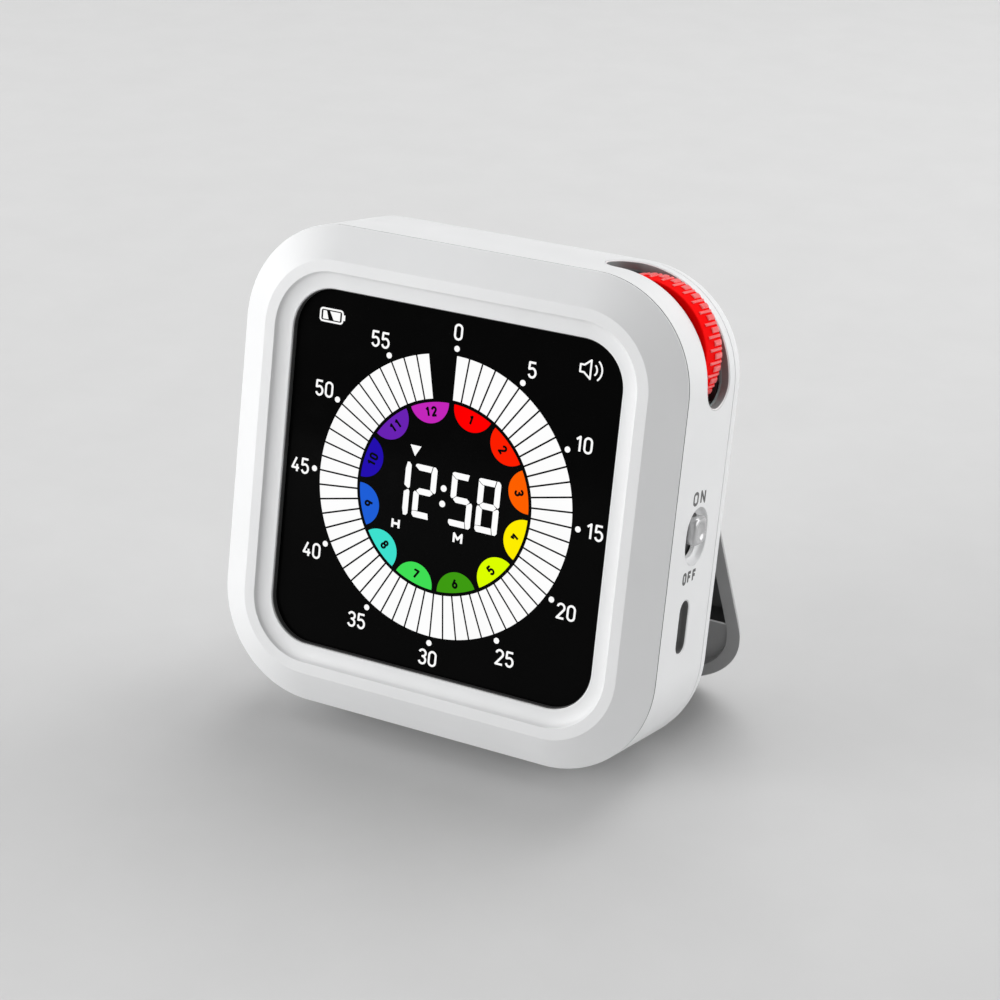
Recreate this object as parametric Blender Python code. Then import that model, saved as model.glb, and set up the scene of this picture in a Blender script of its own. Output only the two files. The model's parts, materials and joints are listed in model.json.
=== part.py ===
"""Desk countdown timer: a square case round a dial display, with a thumb wheel in its upper right
corner, a power switch and a charging port in its right side, and a stand that folds out of its back.

Everything is drawn in the case's own frame: X to the right, Y from the display towards the back,
Z up, origin in the middle of the display's face. The case then leans back until its rear bottom
edge and the open stand's foot both touch the table, which is the plane Z = 0.
"""

import math

import bmesh
import bpy
from mathutils import Matrix, Vector

# Lengths are in millimetres up to new_piece, which turns them into Blender's metres.
MM = 0.001
GAP = 0.3

# Case
CASE_HALF = 41.0
CASE_DEPTH = 28.0
CORNER_RADIUS = 18.0
FRONT = -2.26
BACK = FRONT + CASE_DEPTH
WALL = 1.7
FRONT_SEAM = 1.35
REAR_SEAM = 18.7
BACK_EDGE_RADIUS = 6.7
BACK_EDGE_START = BACK - BACK_EDGE_RADIUS
BACK_WALL = 1.8
LOWER_BACK = 20.6
SKIRT_INSET = WALL + GAP
SKIRT_THICKNESS = 1.0

# Bezel: a chamfer, a flat rim, a shallow cove and the lip round the display
CHAMFER_START = 0.63
RIM_INSET = 5.5
COVE_INSET = 7.45
LIP_INSET = 10.4
LIP_FRONT = -1.25

# Display stack, front to back
LENS_INSET = 9.7
LENS_THICKNESS = 1.0
PANEL_INSET = 11.2
TRAY_INSET = 10.0
TRAY_FRONT = 3.4
TRAY_BACK = 7.7
TRAY_WALL = 1.3

# Thumb wheel and its slot round the corner
WHEEL_X = WHEEL_Z = 28.0
WHEEL_RADIUS = 12.2
WHEEL_FRONT = 8.6
WHEEL_BACK = 14.6
WHEEL_RIBS = 36
RIB_HEIGHT = 0.4
SLOT_FRONT = 8.0
SLOT_BACK = 16.0
SLOT_STRAIGHT = 3.5
SHAFT_RADIUS = 2.5
POCKET_RADIUS = 12.9
POCKET_BACK = 16.7

# Power switch and charging port in the right side
SWITCH_Y = 10.25
SWITCH_TRAVEL = 2.0
KNOB_HALF_Y = 1.95
KNOB_HALF_Z = 2.3
KNOB_PROUD = 0.75
PORT_Y = 9.05
PORT_Z = -15.0
PORT_HALF_Y = 1.65
PORT_HALF_Z = 4.45

# Circuit board
BOARD_FRONT = 10.9
BOARD_BACK = 11.9
BOARD_SCREWS = [(-25.0, -21.0), (-25.0, 20.0), (27.0, -20.0)]

# Case screws, from the back through the rear cover into the bezel's posts
CASE_SCREWS = [(-11.0, 34.5), (11.0, 34.5), (-31.0, -31.0), (31.0, -31.0)]
POST_RADIUS = 2.5
BOSS_RADIUS = 3.3
BOSS_FRONT = 16.3
SEAT = 18.9
HEAD_RADIUS = 1.9

# Stand: the lower half of the back, hinged on a line across the middle
STAND_FACE = LOWER_BACK + GAP
HINGE_Y = 24.3
HINGE_Z = -0.85
STAND_OPEN = math.radians(35.0)
STAND_RIM = 2.3
BAR_TOP = -22.2
LUG_X = 24.0
LUG_HALF = 3.0
PIN_RADIUS = 0.6
PIN_HOLE_RADIUS = 0.8
PAD_HALF = 16.0

CORNER_STEPS = 8
EDGE_STEPS = 5
ROUND_STEPS = 24
SMOOTH_ANGLE = math.radians(35.0)


# ---------------------------------------------------------------- resting pose


def turned_about_hinge(y, z, angle):
    """The point (y, z) of the closed stand, after the stand has opened by angle."""
    dy, dz = y - HINGE_Y, z - HINGE_Z
    return (
        HINGE_Y + dy * math.cos(angle) - dz * math.sin(angle),
        HINGE_Z + dy * math.sin(angle) + dz * math.cos(angle),
    )


def resting_lean():
    """How far the case leans back when its rear bottom edge and the stand's foot share one plane."""
    foot_y, foot_z = turned_about_hinge(STAND_FACE, -CASE_HALF, STAND_OPEN)
    edge_y, edge_z = BACK_EDGE_START, BACK_EDGE_RADIUS - CASE_HALF
    reach = math.hypot(foot_y - edge_y, foot_z - edge_z)
    drop = math.atan2(edge_z - foot_z, foot_y - edge_y)
    return math.asin(BACK_EDGE_RADIUS / reach) - drop


LEAN = resting_lean()


def resting_place():
    """Where the display's middle goes, so that the whole object is centred over the origin."""
    edge_y, edge_z = BACK_EDGE_START, BACK_EDGE_RADIUS - CASE_HALF
    table = edge_z * math.cos(LEAN) - edge_y * math.sin(LEAN) - BACK_EDGE_RADIUS
    rim = RIM_INSET - CASE_HALF
    foremost = FRONT * math.cos(LEAN) + rim * math.sin(LEAN)
    heel_y, heel_z = turned_about_hinge(edge_y, edge_z, STAND_OPEN)
    rearmost = heel_y * math.cos(LEAN) + heel_z * math.sin(LEAN) + BACK_EDGE_RADIUS
    return Vector((0.0, -(foremost + rearmost) / 2, -table))


# ---------------------------------------------------------------- outlines


def rounded_rectangle(half_a, half_b, radius, steps, middle=(0.0, 0.0)):
    """A rectangle with round corners, as points counter-clockwise."""
    points = []
    for quarter, (side_a, side_b) in enumerate(((1, 1), (-1, 1), (-1, -1), (1, -1))):
        for step in range(steps + 1):
            angle = math.pi / 2 * (quarter + step / steps)
            points.append(
                (
                    middle[0] + side_a * (half_a - radius) + radius * math.cos(angle),
                    middle[1] + side_b * (half_b - radius) + radius * math.sin(angle),
                )
            )
    return points


def circle(radius, middle=(0.0, 0.0), steps=ROUND_STEPS):
    turn = 2 * math.pi / steps
    return [
        (middle[0] + radius * math.cos(turn * i), middle[1] + radius * math.sin(turn * i))
        for i in range(steps)
    ]


def arc(middle, radius, start, end, steps):
    """Points on an arc, with the angles in degrees."""
    return [
        (
            middle[0] + radius * math.cos(math.radians(start + (end - start) * i / steps)),
            middle[1] + radius * math.sin(math.radians(start + (end - start) * i / steps)),
        )
        for i in range(steps + 1)
    ]


def case_outline(inset):
    """The case's outline, moved in by inset, as (x, z) points."""
    half = CASE_HALF - inset
    return rounded_rectangle(half, half, CORNER_RADIUS - inset, CORNER_STEPS)


def case_ring(inset, y):
    return [(x, y, z) for x, z in case_outline(inset)]


def side_ring(x, half_y, half_z, radius, middle):
    """A rounded rectangle facing +X, with middle as (y, z)."""
    return [(x, y, z) for y, z in rounded_rectangle(half_y, half_z, radius, 4, middle)]


def back_edge(radius, inset, end):
    """(inset, y) points round the edge between a side wall and a back at y = end."""
    points = []
    for step in range(EDGE_STEPS + 1):
        angle = math.pi / 2 * step / EDGE_STEPS
        points.append(
            (inset + radius * (1 - math.cos(angle)), end - radius * (1 - math.sin(angle)))
        )
    return points


# ---------------------------------------------------------------- pieces


def material(name, colour, roughness, metallic=0.0):
    made = bpy.data.materials.new(name)
    made.use_nodes = True
    shader = made.node_tree.nodes["Principled BSDF"]
    shader.inputs["Base Color"].default_value = (*colour, 1.0)
    shader.inputs["Roughness"].default_value = roughness
    shader.inputs["Metallic"].default_value = metallic
    return made


def new_piece(name, points, faces, parent):
    """A mesh object from points in millimetres, with its faces turned outwards."""
    mesh = bpy.data.meshes.new(name)
    mesh.from_pydata([Vector(point) * MM for point in points], [], faces)
    work = bmesh.new()
    work.from_mesh(mesh)
    bmesh.ops.recalc_face_normals(work, faces=work.faces)
    work.to_mesh(mesh)
    work.free()
    piece = bpy.data.objects.new(name, mesh)
    piece.parent = parent
    bpy.context.scene.collection.objects.link(piece)
    return piece


def loft(name, rings, parent, closed=False):
    """Joins rings of equally many points, one after the other, and caps the two ends."""
    count = len(rings[0])
    points = [point for ring in rings for point in ring]
    spans = len(rings) if closed else len(rings) - 1
    faces = []
    for span in range(spans):
        near, far = span * count, (span + 1) % len(rings) * count
        for i in range(count):
            j = (i + 1) % count
            faces.append((near + i, near + j, far + j, far + i))
    if not closed:
        last = (len(rings) - 1) * count
        faces.append(tuple(range(count)))
        faces.append(tuple(range(last, last + count)))
    return new_piece(name, points, faces, parent)


def prism(name, outline, low, high, parent, axis="Y"):
    """An outline pushed along an axis: (x, z) points along Y, or (y, z) points along X."""
    if axis == "Y":
        rings = [[(a, depth, b) for a, b in outline] for depth in (low, high)]
    else:
        rings = [[(depth, a, b) for a, b in outline] for depth in (low, high)]
    return loft(name, rings, parent)


def turned(name, sections, middle, parent, steps=ROUND_STEPS):
    """Round sections (radius, y) about a line along Y through middle, as (x, z)."""
    rings = [[(x, y, z) for x, z in circle(radius, middle, steps)] for radius, y in sections]
    return loft(name, rings, parent)


def box(name, low, high, parent, chamfer=0.0):
    x0, y0, z0 = low
    x1, y1, z1 = high
    outline = [(x0, z0), (x1, z0), (x1, z1), (x0, z1)]
    piece = prism(name, outline, y0, y1, parent)
    if chamfer:
        edge = piece.modifiers.new("Edge", "BEVEL")
        edge.width = chamfer * MM
        edge.segments = 1
    return piece


def boolean(piece, operation, *others):
    """Joins, cuts or keeps the overlap with each of the others, which stay as hidden helpers."""
    for other in others:
        step = piece.modifiers.new(operation.title(), "BOOLEAN")
        step.operation = operation
        step.object = other
        other.hide_render = True
        other.display_type = "WIRE"
    return piece


def finish(piece, finish_material, smooth=False):
    piece.data.materials.append(finish_material)
    if smooth:
        piece.data.shade_smooth()
        piece.data.set_sharp_from_angle(angle=SMOOTH_ANGLE)
    return piece


# ---------------------------------------------------------------- bezel, housing, rear cover


def cove():
    """(inset, y) points from the rim's inner edge, steep at first, to the level lip."""
    points = []
    for degrees in (30, 55, 75, 90):
        angle = math.radians(degrees)
        points.append(
            (
                COVE_INSET + (LIP_INSET - COVE_INSET) * (1 - math.cos(angle)),
                FRONT + (LIP_FRONT - FRONT) * math.sin(angle),
            )
        )
    return points


def make_bezel(case, white):
    seam = FRONT_SEAM - GAP / 2
    outer_skin = [(0.0, seam), (0.0, CHAMFER_START), (RIM_INSET, FRONT), (COVE_INSET, FRONT)]
    lens_pocket = [(LIP_INSET, -GAP), (LENS_INSET - GAP, -GAP), (LENS_INSET - GAP, 2.2)]
    rib_and_inner_skin = [(8.0, 2.2), (8.0, -0.45), (5.9, -0.45)]
    skirt_inset = SKIRT_INSET + SKIRT_THICKNESS
    skirt = [(skirt_inset, 1.1), (skirt_inset, 3.2), (SKIRT_INSET, 3.2), (SKIRT_INSET, seam)]
    profile = outer_skin + cove() + lens_pocket + rib_and_inner_skin + skirt
    bezel = loft("front_bezel", [case_ring(*point) for point in profile], case, closed=True)
    for number, place in enumerate(CASE_SCREWS, 1):
        post = turned(
            f"bezel_post_{number}", [(POST_RADIUS, -1.2), (POST_RADIUS, 16.0)], place, case, 16
        )
        pilot = turned(f"bezel_pilot_{number}", [(1.2, 7.0), (1.2, 17.0)], place, case, 12)
        boolean(bezel, "UNION", post)
        boolean(bezel, "DIFFERENCE", pilot)
    finish(bezel, white, smooth=True)


def slot_place(distance):
    """The point and outward normal, as (x, z), at a distance along the slot from its upper end."""
    centre = CASE_HALF - CORNER_RADIUS
    quarter = CORNER_RADIUS * math.pi / 2
    if distance < SLOT_STRAIGHT:
        return (centre - SLOT_STRAIGHT + distance, CASE_HALF), (0.0, 1.0)
    if distance > SLOT_STRAIGHT + quarter:
        return (CASE_HALF, centre - (distance - SLOT_STRAIGHT - quarter)), (1.0, 0.0)
    angle = math.pi / 2 - (distance - SLOT_STRAIGHT) / CORNER_RADIUS
    normal = (math.cos(angle), math.sin(angle))
    return (centre + CORNER_RADIUS * normal[0], centre + CORNER_RADIUS * normal[1]), normal


def slot_cutter(case):
    """A band round the upper right corner with half-round ends."""
    middle = (SLOT_FRONT + SLOT_BACK) / 2
    half = (SLOT_BACK - SLOT_FRONT) / 2
    length = 2 * SLOT_STRAIGHT + CORNER_RADIUS * math.pi / 2
    end_angles = [math.radians(degrees) for degrees in (10, 25, 40, 55, 70, 90)]
    end = [(half * (1 - math.cos(angle)), half * math.sin(angle)) for angle in end_angles]
    spans = 10
    run = [
        (half + (length - 2 * half) * step / spans, half) for step in range(1, spans)
    ]
    stations = end + run + [(length - distance, height) for distance, height in reversed(end)]
    rings = []
    for distance, height in stations:
        (x, z), (normal_x, normal_z) = slot_place(distance)
        ring = []
        for out, side in ((1.0, -1), (1.0, 1), (-3.5, 1), (-3.5, -1)):
            ring.append((x + out * normal_x, middle + side * height, z + out * normal_z))
        rings.append(ring)
    return loft("wheel_slot_cutter", rings, case)


def make_housing(case, white):
    front = FRONT_SEAM + GAP / 2
    back = REAR_SEAM - GAP / 2
    profile = [(0.0, front), (0.0, back), (WALL, back), (WALL, front)]
    housing = loft("side_housing", [case_ring(*point) for point in profile], case, closed=True)
    place = (SWITCH_Y, 0.0)
    switch_recess = loft(
        "switch_recess_cutter",
        [
            side_ring(CASE_HALF - 2.5, 2.35, 3.7, 2.3, place),
            side_ring(CASE_HALF - 1.1, 2.35, 3.7, 2.3, place),
            side_ring(CASE_HALF, 3.95, 4.75, 3.85, place),
            side_ring(CASE_HALF + 1.0, 4.2, 5.0, 4.1, place),
        ],
        case,
    )
    port = (PORT_Y, PORT_Z)
    port_hole = loft(
        "port_cutter",
        [
            side_ring(x, PORT_HALF_Y, PORT_HALF_Z, 1.6, port)
            for x in (CASE_HALF - 3.0, CASE_HALF + 1.0)
        ],
        case,
    )
    boolean(housing, "DIFFERENCE", slot_cutter(case), switch_recess, port_hole)
    finish(housing, white, smooth=True)


def rear_body(name, start, case):
    """The whole back of the case as one solid, from y = start to the rounded back."""
    rings = [case_ring(0.0, start)]
    rings += [case_ring(*point) for point in back_edge(BACK_EDGE_RADIUS, 0.0, BACK)]
    return loft(name, rings, case)


def stand_section(face, barrel_radius):
    """(y, z) outline of the stand seen from the side, reaching past the back and the bottom."""
    below, behind = -CASE_HALF - 10.0, BACK + 2.0
    barrel = arc((HINGE_Y, HINGE_Z), barrel_radius, 180, 55, 8)
    return [(face, below)] + barrel + [(behind, HINGE_Z), (behind, below)]


def make_rear_cover(case, white):
    start = REAR_SEAM + GAP / 2
    cover = rear_body("rear_cover", start, case)
    skirt_inset = SKIRT_INSET + SKIRT_THICKNESS
    skirt_profile = [
        (SKIRT_INSET, 17.0),
        (SKIRT_INSET, 19.3),
        (skirt_inset, 19.3),
        (skirt_inset, 17.0),
    ]
    skirt = loft("cover_skirt", [case_ring(*point) for point in skirt_profile], case, True)

    inner_radius = BACK_EDGE_RADIUS - BACK_WALL
    inner_rings = [case_ring(BACK_WALL, start - 2.0)]
    inner_rings += [
        case_ring(*point) for point in back_edge(inner_radius, BACK_WALL, BACK - BACK_WALL)
    ]
    hollow = loft("cover_hollow_cutter", inner_rings, case)
    upper_half = box("cover_upper_half", (-50.0, 10.0, 4.8), (50.0, 30.0, 50.0), case)
    boolean(hollow, "INTERSECT", upper_half)

    stand_space = prism(
        "stand_space_cutter",
        stand_section(LOWER_BACK, HINGE_Y - LOWER_BACK),
        -50.0,
        50.0,
        case,
        axis="X",
    )
    boolean(cover, "DIFFERENCE", hollow)
    boolean(cover, "UNION", skirt)
    boolean(cover, "DIFFERENCE", stand_space)

    for number, (x, z) in enumerate(CASE_SCREWS, 1):
        boss_back = BACK - 1.0 if z > 0 else LOWER_BACK - 0.8
        boss = turned(
            f"cover_boss_{number}",
            [(BOSS_RADIUS, BOSS_FRONT), (BOSS_RADIUS, boss_back)],
            (x, z),
            case,
            20,
        )
        bore = turned(
            f"cover_bore_{number}",
            [(1.25, BOSS_FRONT - 1), (1.25, SEAT), (2.2, SEAT), (2.2, BACK + 1)],
            (x, z),
            case,
            16,
        )
        boolean(cover, "UNION", boss)
        boolean(cover, "DIFFERENCE", bore)

    lug_radius = BACK - HINGE_Y - 0.04
    lug_top = HINGE_Z + HINGE_Y - LOWER_BACK + 0.9
    lug_section = (
        [(HINGE_Y - lug_radius, lug_top)]
        + arc((HINGE_Y, HINGE_Z), lug_radius, 180, 360, 8)
        + [(HINGE_Y + lug_radius, lug_top)]
    )
    for side in (-1, 1):
        lug = prism(
            "cover_lug",
            lug_section,
            side * LUG_X - LUG_HALF,
            side * LUG_X + LUG_HALF,
            case,
            axis="X",
        )
        hole = pin_hole("cover_pin_hole", side, case)
        boolean(cover, "UNION", lug)
        boolean(cover, "DIFFERENCE", hole)

    sound_x, sound_z = SPEAKER_PLACE
    spread = [(sound_x, sound_z)] + circle(3.6, (sound_x, sound_z), 6)
    for place in spread:
        hole = turned("sound_hole_cutter", [(0.7, BACK - 4), (0.7, BACK + 1)], place, case, 8)
        boolean(cover, "DIFFERENCE", hole)
    finish(cover, white, smooth=True)


# ---------------------------------------------------------------- display


def make_display(case, looks):
    lens = loft(
        "display_lens",
        [case_ring(LENS_INSET, 0.0), case_ring(LENS_INSET, LENS_THICKNESS)],
        case,
    )
    finish(lens, looks["black_glass"])

    panel_front = LENS_THICKNESS + GAP
    panel = loft(
        "lcd_panel",
        [case_ring(PANEL_INSET, panel_front), case_ring(PANEL_INSET, TRAY_FRONT - GAP)],
        case,
    )
    finish(panel, looks["panel"])

    inner = TRAY_INSET + TRAY_WALL
    floor = TRAY_BACK - TRAY_WALL
    tray = loft(
        "backlight_tray",
        [
            case_ring(inner, floor),
            case_ring(inner, TRAY_FRONT),
            case_ring(TRAY_INSET, TRAY_FRONT),
            case_ring(TRAY_INSET, TRAY_BACK),
        ],
        case,
    )
    ribbon_notch = box(
        "tray_notch_cutter", (-12.6, TRAY_FRONT - 1, -33.0), (12.6, TRAY_BACK + 1, -29.9), case
    )
    boolean(tray, "DIFFERENCE", ribbon_notch)
    for number, place in enumerate(BOARD_SCREWS, 1):
        post = turned(
            f"tray_post_{number}",
            [(2.0, TRAY_BACK - 0.6), (2.0, BOARD_FRONT - GAP)],
            place,
            case,
            16,
        )
        pilot = turned(
            f"tray_pilot_{number}", [(0.95, 8.0), (0.95, BOARD_FRONT + 1)], place, case, 10
        )
        boolean(tray, "UNION", post)
        boolean(tray, "DIFFERENCE", pilot)
    finish(tray, looks["tray"], smooth=True)

    film_inset = inner + GAP + 0.1
    film = loft(
        "diffuser_film", [case_ring(film_inset, 3.5), case_ring(film_inset, 3.9)], case
    )
    finish(film, looks["film"])

    guide_half, guide_low, guide_high = 28.9, -26.6, 28.9
    guide_outline = rounded_rectangle(
        guide_half, (guide_high - guide_low) / 2, 5.0, 4, (0.0, (guide_high + guide_low) / 2)
    )
    guide = prism("light_guide", guide_outline, 3.9 + GAP, floor - GAP, case)
    finish(guide, looks["film"])

    led_strip = box("led_strip", (-21.0, 4.4, -28.9), (21.0, 5.9, -27.0), case, 0.1)
    finish(led_strip, looks["board"])

    ribbon_section = [
        (1.6, -30.5),
        (9.5, -30.5),
        (9.5, -24.1),
        (9.2, -24.1),
        (9.2, -30.2),
        (1.6, -30.2),
    ]
    ribbon = prism("display_ribbon", ribbon_section, -12.0, 12.0, case, axis="X")
    finish(ribbon, looks["ribbon"])


# ---------------------------------------------------------------- thumb wheel


def wheel_outline():
    """A rim with square ribs, as (x, z) points round the wheel's middle."""
    points = []
    pitch = 2 * math.pi / WHEEL_RIBS
    rib, valley = WHEEL_RADIUS, WHEEL_RADIUS - RIB_HEIGHT
    for number in range(WHEEL_RIBS):
        for offset, radius in ((-0.26, valley), (-0.2, rib), (0.2, rib), (0.26, valley)):
            angle = (number + offset) * pitch
            points.append((radius * math.cos(angle), radius * math.sin(angle)))
    return points


def make_wheel(case, looks):
    axle = bpy.data.objects.new("wheel_axis", None)
    axle.parent = case
    axle.location = Vector((WHEEL_X, 0.0, WHEEL_Z)) * MM
    bpy.context.scene.collection.objects.link(axle)

    wheel = prism("thumb_wheel", wheel_outline(), WHEEL_FRONT, WHEEL_BACK, axle)
    bore_radius = SHAFT_RADIUS + GAP
    shaft_front = WHEEL_FRONT + 1.3
    bore = turned(
        "wheel_bore",
        [(bore_radius, shaft_front - GAP), (bore_radius, WHEEL_BACK + 1)],
        (0.0, 0.0),
        axle,
        20,
    )
    boolean(wheel, "DIFFERENCE", bore)
    finish(wheel, looks["red"])

    shaft_sections = [(SHAFT_RADIUS, shaft_front), (SHAFT_RADIUS, 18.7)]
    shaft = turned("encoder_shaft", shaft_sections, (0.0, 0.0), axle, 20)
    finish(shaft, looks["steel"], smooth=True)

    pocket_floor = POCKET_BACK - 0.9
    outer = POCKET_RADIUS + 0.8
    place = (WHEEL_X, WHEEL_Z)
    pocket = turned(
        "wheel_pocket",
        [
            (POCKET_RADIUS, pocket_floor),
            (POCKET_RADIUS, TRAY_BACK + GAP),
            (outer, TRAY_BACK + GAP),
            (outer, POCKET_BACK),
        ],
        place,
        case,
        32,
    )
    inside_case = loft(
        "pocket_limit",
        [case_ring(SKIRT_INSET, TRAY_BACK - 2), case_ring(SKIRT_INSET, POCKET_BACK + 2)],
        case,
    )
    shaft_hole = turned(
        "pocket_shaft_hole", [(3.6, pocket_floor - 2), (3.6, POCKET_BACK + 1)], place, case, 20
    )
    boolean(pocket, "INTERSECT", inside_case)
    boolean(pocket, "DIFFERENCE", shaft_hole)
    finish(pocket, looks["dark_grey"], smooth=True)

    body_front = POCKET_BACK + GAP
    encoder = box(
        "encoder_body",
        (WHEEL_X - 5.3, body_front, WHEEL_Z - 5.3),
        (WHEEL_X + 5.3, body_front + 4.0, WHEEL_Z + 5.3),
        case,
    )
    socket = turned(
        "encoder_socket", [(bore_radius, body_front - 1), (bore_radius, 19.0)], place, case, 20
    )
    boolean(encoder, "DIFFERENCE", socket)
    finish(encoder, looks["dark_grey"])

    encoder_board = box("encoder_board", (20.5, 21.3, 20.5), (32.5, 22.3, 32.5), case)
    finish(encoder_board, looks["board"])


# ---------------------------------------------------------------- switch and port


def make_switch(case, looks):
    body = box("switch_body", (34.0, 7.2, -4.3), (37.4, 10.6, 4.3), case, 0.2)
    finish(body, looks["steel"])

    rest_z = SWITCH_TRAVEL / 2
    slider = prism(
        "switch_slider",
        rounded_rectangle(3.2, 5.2, 1.0, 3, (SWITCH_Y, rest_z)),
        CASE_HALF - WALL - GAP - 1.3,
        CASE_HALF - WALL - GAP,
        case,
        axis="X",
    )
    finish(slider, looks["dark_grey"])

    top = CASE_HALF + KNOB_PROUD
    place = (SWITCH_Y, rest_z)
    rings = []
    for x, shrink in ((CASE_HALF - WALL, 0.0), (top - 0.45, 0.0), (top - 0.12, 0.2), (top, 0.6)):
        rings.append(
            side_ring(
                x, KNOB_HALF_Y - shrink, KNOB_HALF_Z - shrink, KNOB_HALF_Y - shrink - 0.05, place
            )
        )
    knob = loft("switch_knob", rings, case)
    finish(knob, looks["silver"], smooth=True)


def make_port(case, looks):
    mouth = CASE_HALF - WALL - 0.4
    inner_end = mouth - 7.0
    skin = 0.35
    half_y, half_z = PORT_HALF_Y - 0.1, PORT_HALF_Z
    place = (PORT_Y, PORT_Z)
    shell = loft(
        "port_shell",
        [
            side_ring(inner_end + skin, half_y - skin, half_z - skin, 1.15, place),
            side_ring(mouth, half_y - skin, half_z - skin, 1.15, place),
            side_ring(mouth, half_y, half_z, 1.5, place),
            side_ring(inner_end, half_y, half_z, 1.5, place),
        ],
        case,
    )
    finish(shell, looks["steel"], smooth=True)

    tongue = box(
        "port_tongue",
        (inner_end + skin + GAP, PORT_Y - 0.35, PORT_Z - 3.3),
        (mouth - 0.6, PORT_Y + 0.35, PORT_Z + 3.3),
        case,
    )
    finish(tongue, looks["dark_grey"])


# ---------------------------------------------------------------- electronics

SPEAKER_PLACE = (-20.0, 22.0)


def make_electronics(case, looks):
    notch = WHEEL_X - POCKET_RADIUS - 1.5
    board_outline = [
        (-29.0, -25.0),
        (37.2, -25.0),
        (37.2, notch),
        (notch, notch),
        (notch, 24.0),
        (-29.0, 24.0),
    ]
    board = prism("main_board", board_outline, BOARD_FRONT, BOARD_BACK, case)
    for number, place in enumerate(BOARD_SCREWS, 1):
        hole = turned(
            f"board_hole_{number}", [(1.0, BOARD_FRONT - 1), (1.0, BOARD_BACK + 1)], place, case, 12
        )
        boolean(board, "DIFFERENCE", hole)
    finish(board, looks["board"])

    chip_back = BOARD_FRONT - GAP
    chips = {
        "controller_chip": (0.0, 6.0, 3.5, 3.5, 0.9),
        "display_driver_chip": (-16.0, 8.0, 3.0, 3.0, 0.9),
        "charger_chip": (22.0, -11.0, 2.0, 2.0, 0.9),
        "power_inductor": (14.0, -8.0, 2.2, 2.2, 1.8),
        "clock_crystal": (-8.0, -4.0, 1.6, 1.25, 0.8),
    }
    for name, (x, z, half_x, half_z, height) in chips.items():
        chip = box(
            name,
            (x - half_x, chip_back - height, z - half_z),
            (x + half_x, chip_back, z + half_z),
            case,
            0.12,
        )
        finish(chip, looks["steel"] if name == "clock_crystal" else looks["chip"])

    connector = box("ribbon_connector", (-13.0, 9.8, -24.8), (13.0, chip_back, -22.2), case)
    finish(connector, looks["dark_grey"])

    pad_front = BOARD_BACK + GAP
    pad = box("battery_pad", (-18.0, pad_front, -22.0), (16.0, pad_front + 0.6, 6.0), case)
    finish(pad, looks["foam"])

    cell_front = pad_front + 0.6 + GAP
    cell = box("battery_cell", (-20.0, cell_front, -24.0), (18.0, cell_front + 4.6, 8.0), case, 0.8)
    finish(cell, looks["foil"], smooth=True)

    plug = box("battery_connector", (-28.0, pad_front, -8.0), (-22.5, pad_front + 3.6, 0.0), case)
    finish(plug, looks["tray"])

    speaker = turned(
        "speaker",
        [(9.4, 18.2), (10.0, 18.8), (10.0, 22.4), (8.2, 22.4), (7.2, 21.8)],
        SPEAKER_PLACE,
        case,
    )
    finish(speaker, looks["dark_grey"], smooth=True)

    ring = [(7.6, 22.7), (9.8, 22.7), (9.8, 23.5), (7.6, 23.5)]
    gasket = loft(
        "speaker_gasket",
        [[(x, y, z) for x, z in circle(radius, SPEAKER_PLACE)] for radius, y in ring],
        case,
        closed=True,
    )
    finish(gasket, looks["foam"], smooth=True)


def make_screws(case, looks):
    head_front = SEAT + GAP
    for number, place in enumerate(CASE_SCREWS, 1):
        sections = [
            (0.5, 7.6),
            (0.95, 8.4),
            (0.95, head_front),
            (HEAD_RADIUS, head_front),
            (HEAD_RADIUS, head_front + 0.8),
            (HEAD_RADIUS - 0.6, head_front + 1.3),
        ]
        finish(turned(f"case_screw_{number}", sections, place, case, 12), looks["steel"], True)
    board_head = BOARD_BACK + GAP
    for number, place in enumerate(BOARD_SCREWS, 1):
        sections = [(0.7, 8.4), (0.7, board_head), (1.6, board_head), (1.4, board_head + 0.9)]
        finish(turned(f"board_screw_{number}", sections, place, case, 12), looks["steel"], True)


# ---------------------------------------------------------------- stand


def pin_hole(name, side, parent, offset=(0.0, 0.0)):
    """A hole along the hinge line through one lug and a little way into the stand at both sides."""
    middle = (HINGE_Y - offset[0], HINGE_Z - offset[1])
    reach = LUG_HALF + 3.8
    return prism(
        name,
        circle(PIN_HOLE_RADIUS, middle, 12),
        side * LUG_X - reach,
        side * LUG_X + reach,
        parent,
        axis="X",
    )


def bottom_outline(inset):
    """(x, z) outline of the case below its lower corners' centres, moved in by inset."""
    middle = CASE_HALF - CORNER_RADIUS
    radius = CORNER_RADIUS - inset
    left = arc((-middle, -middle), radius, 180, 270, CORNER_STEPS)
    return left + arc((middle, -middle), radius, 270, 360, CORNER_STEPS)


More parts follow.
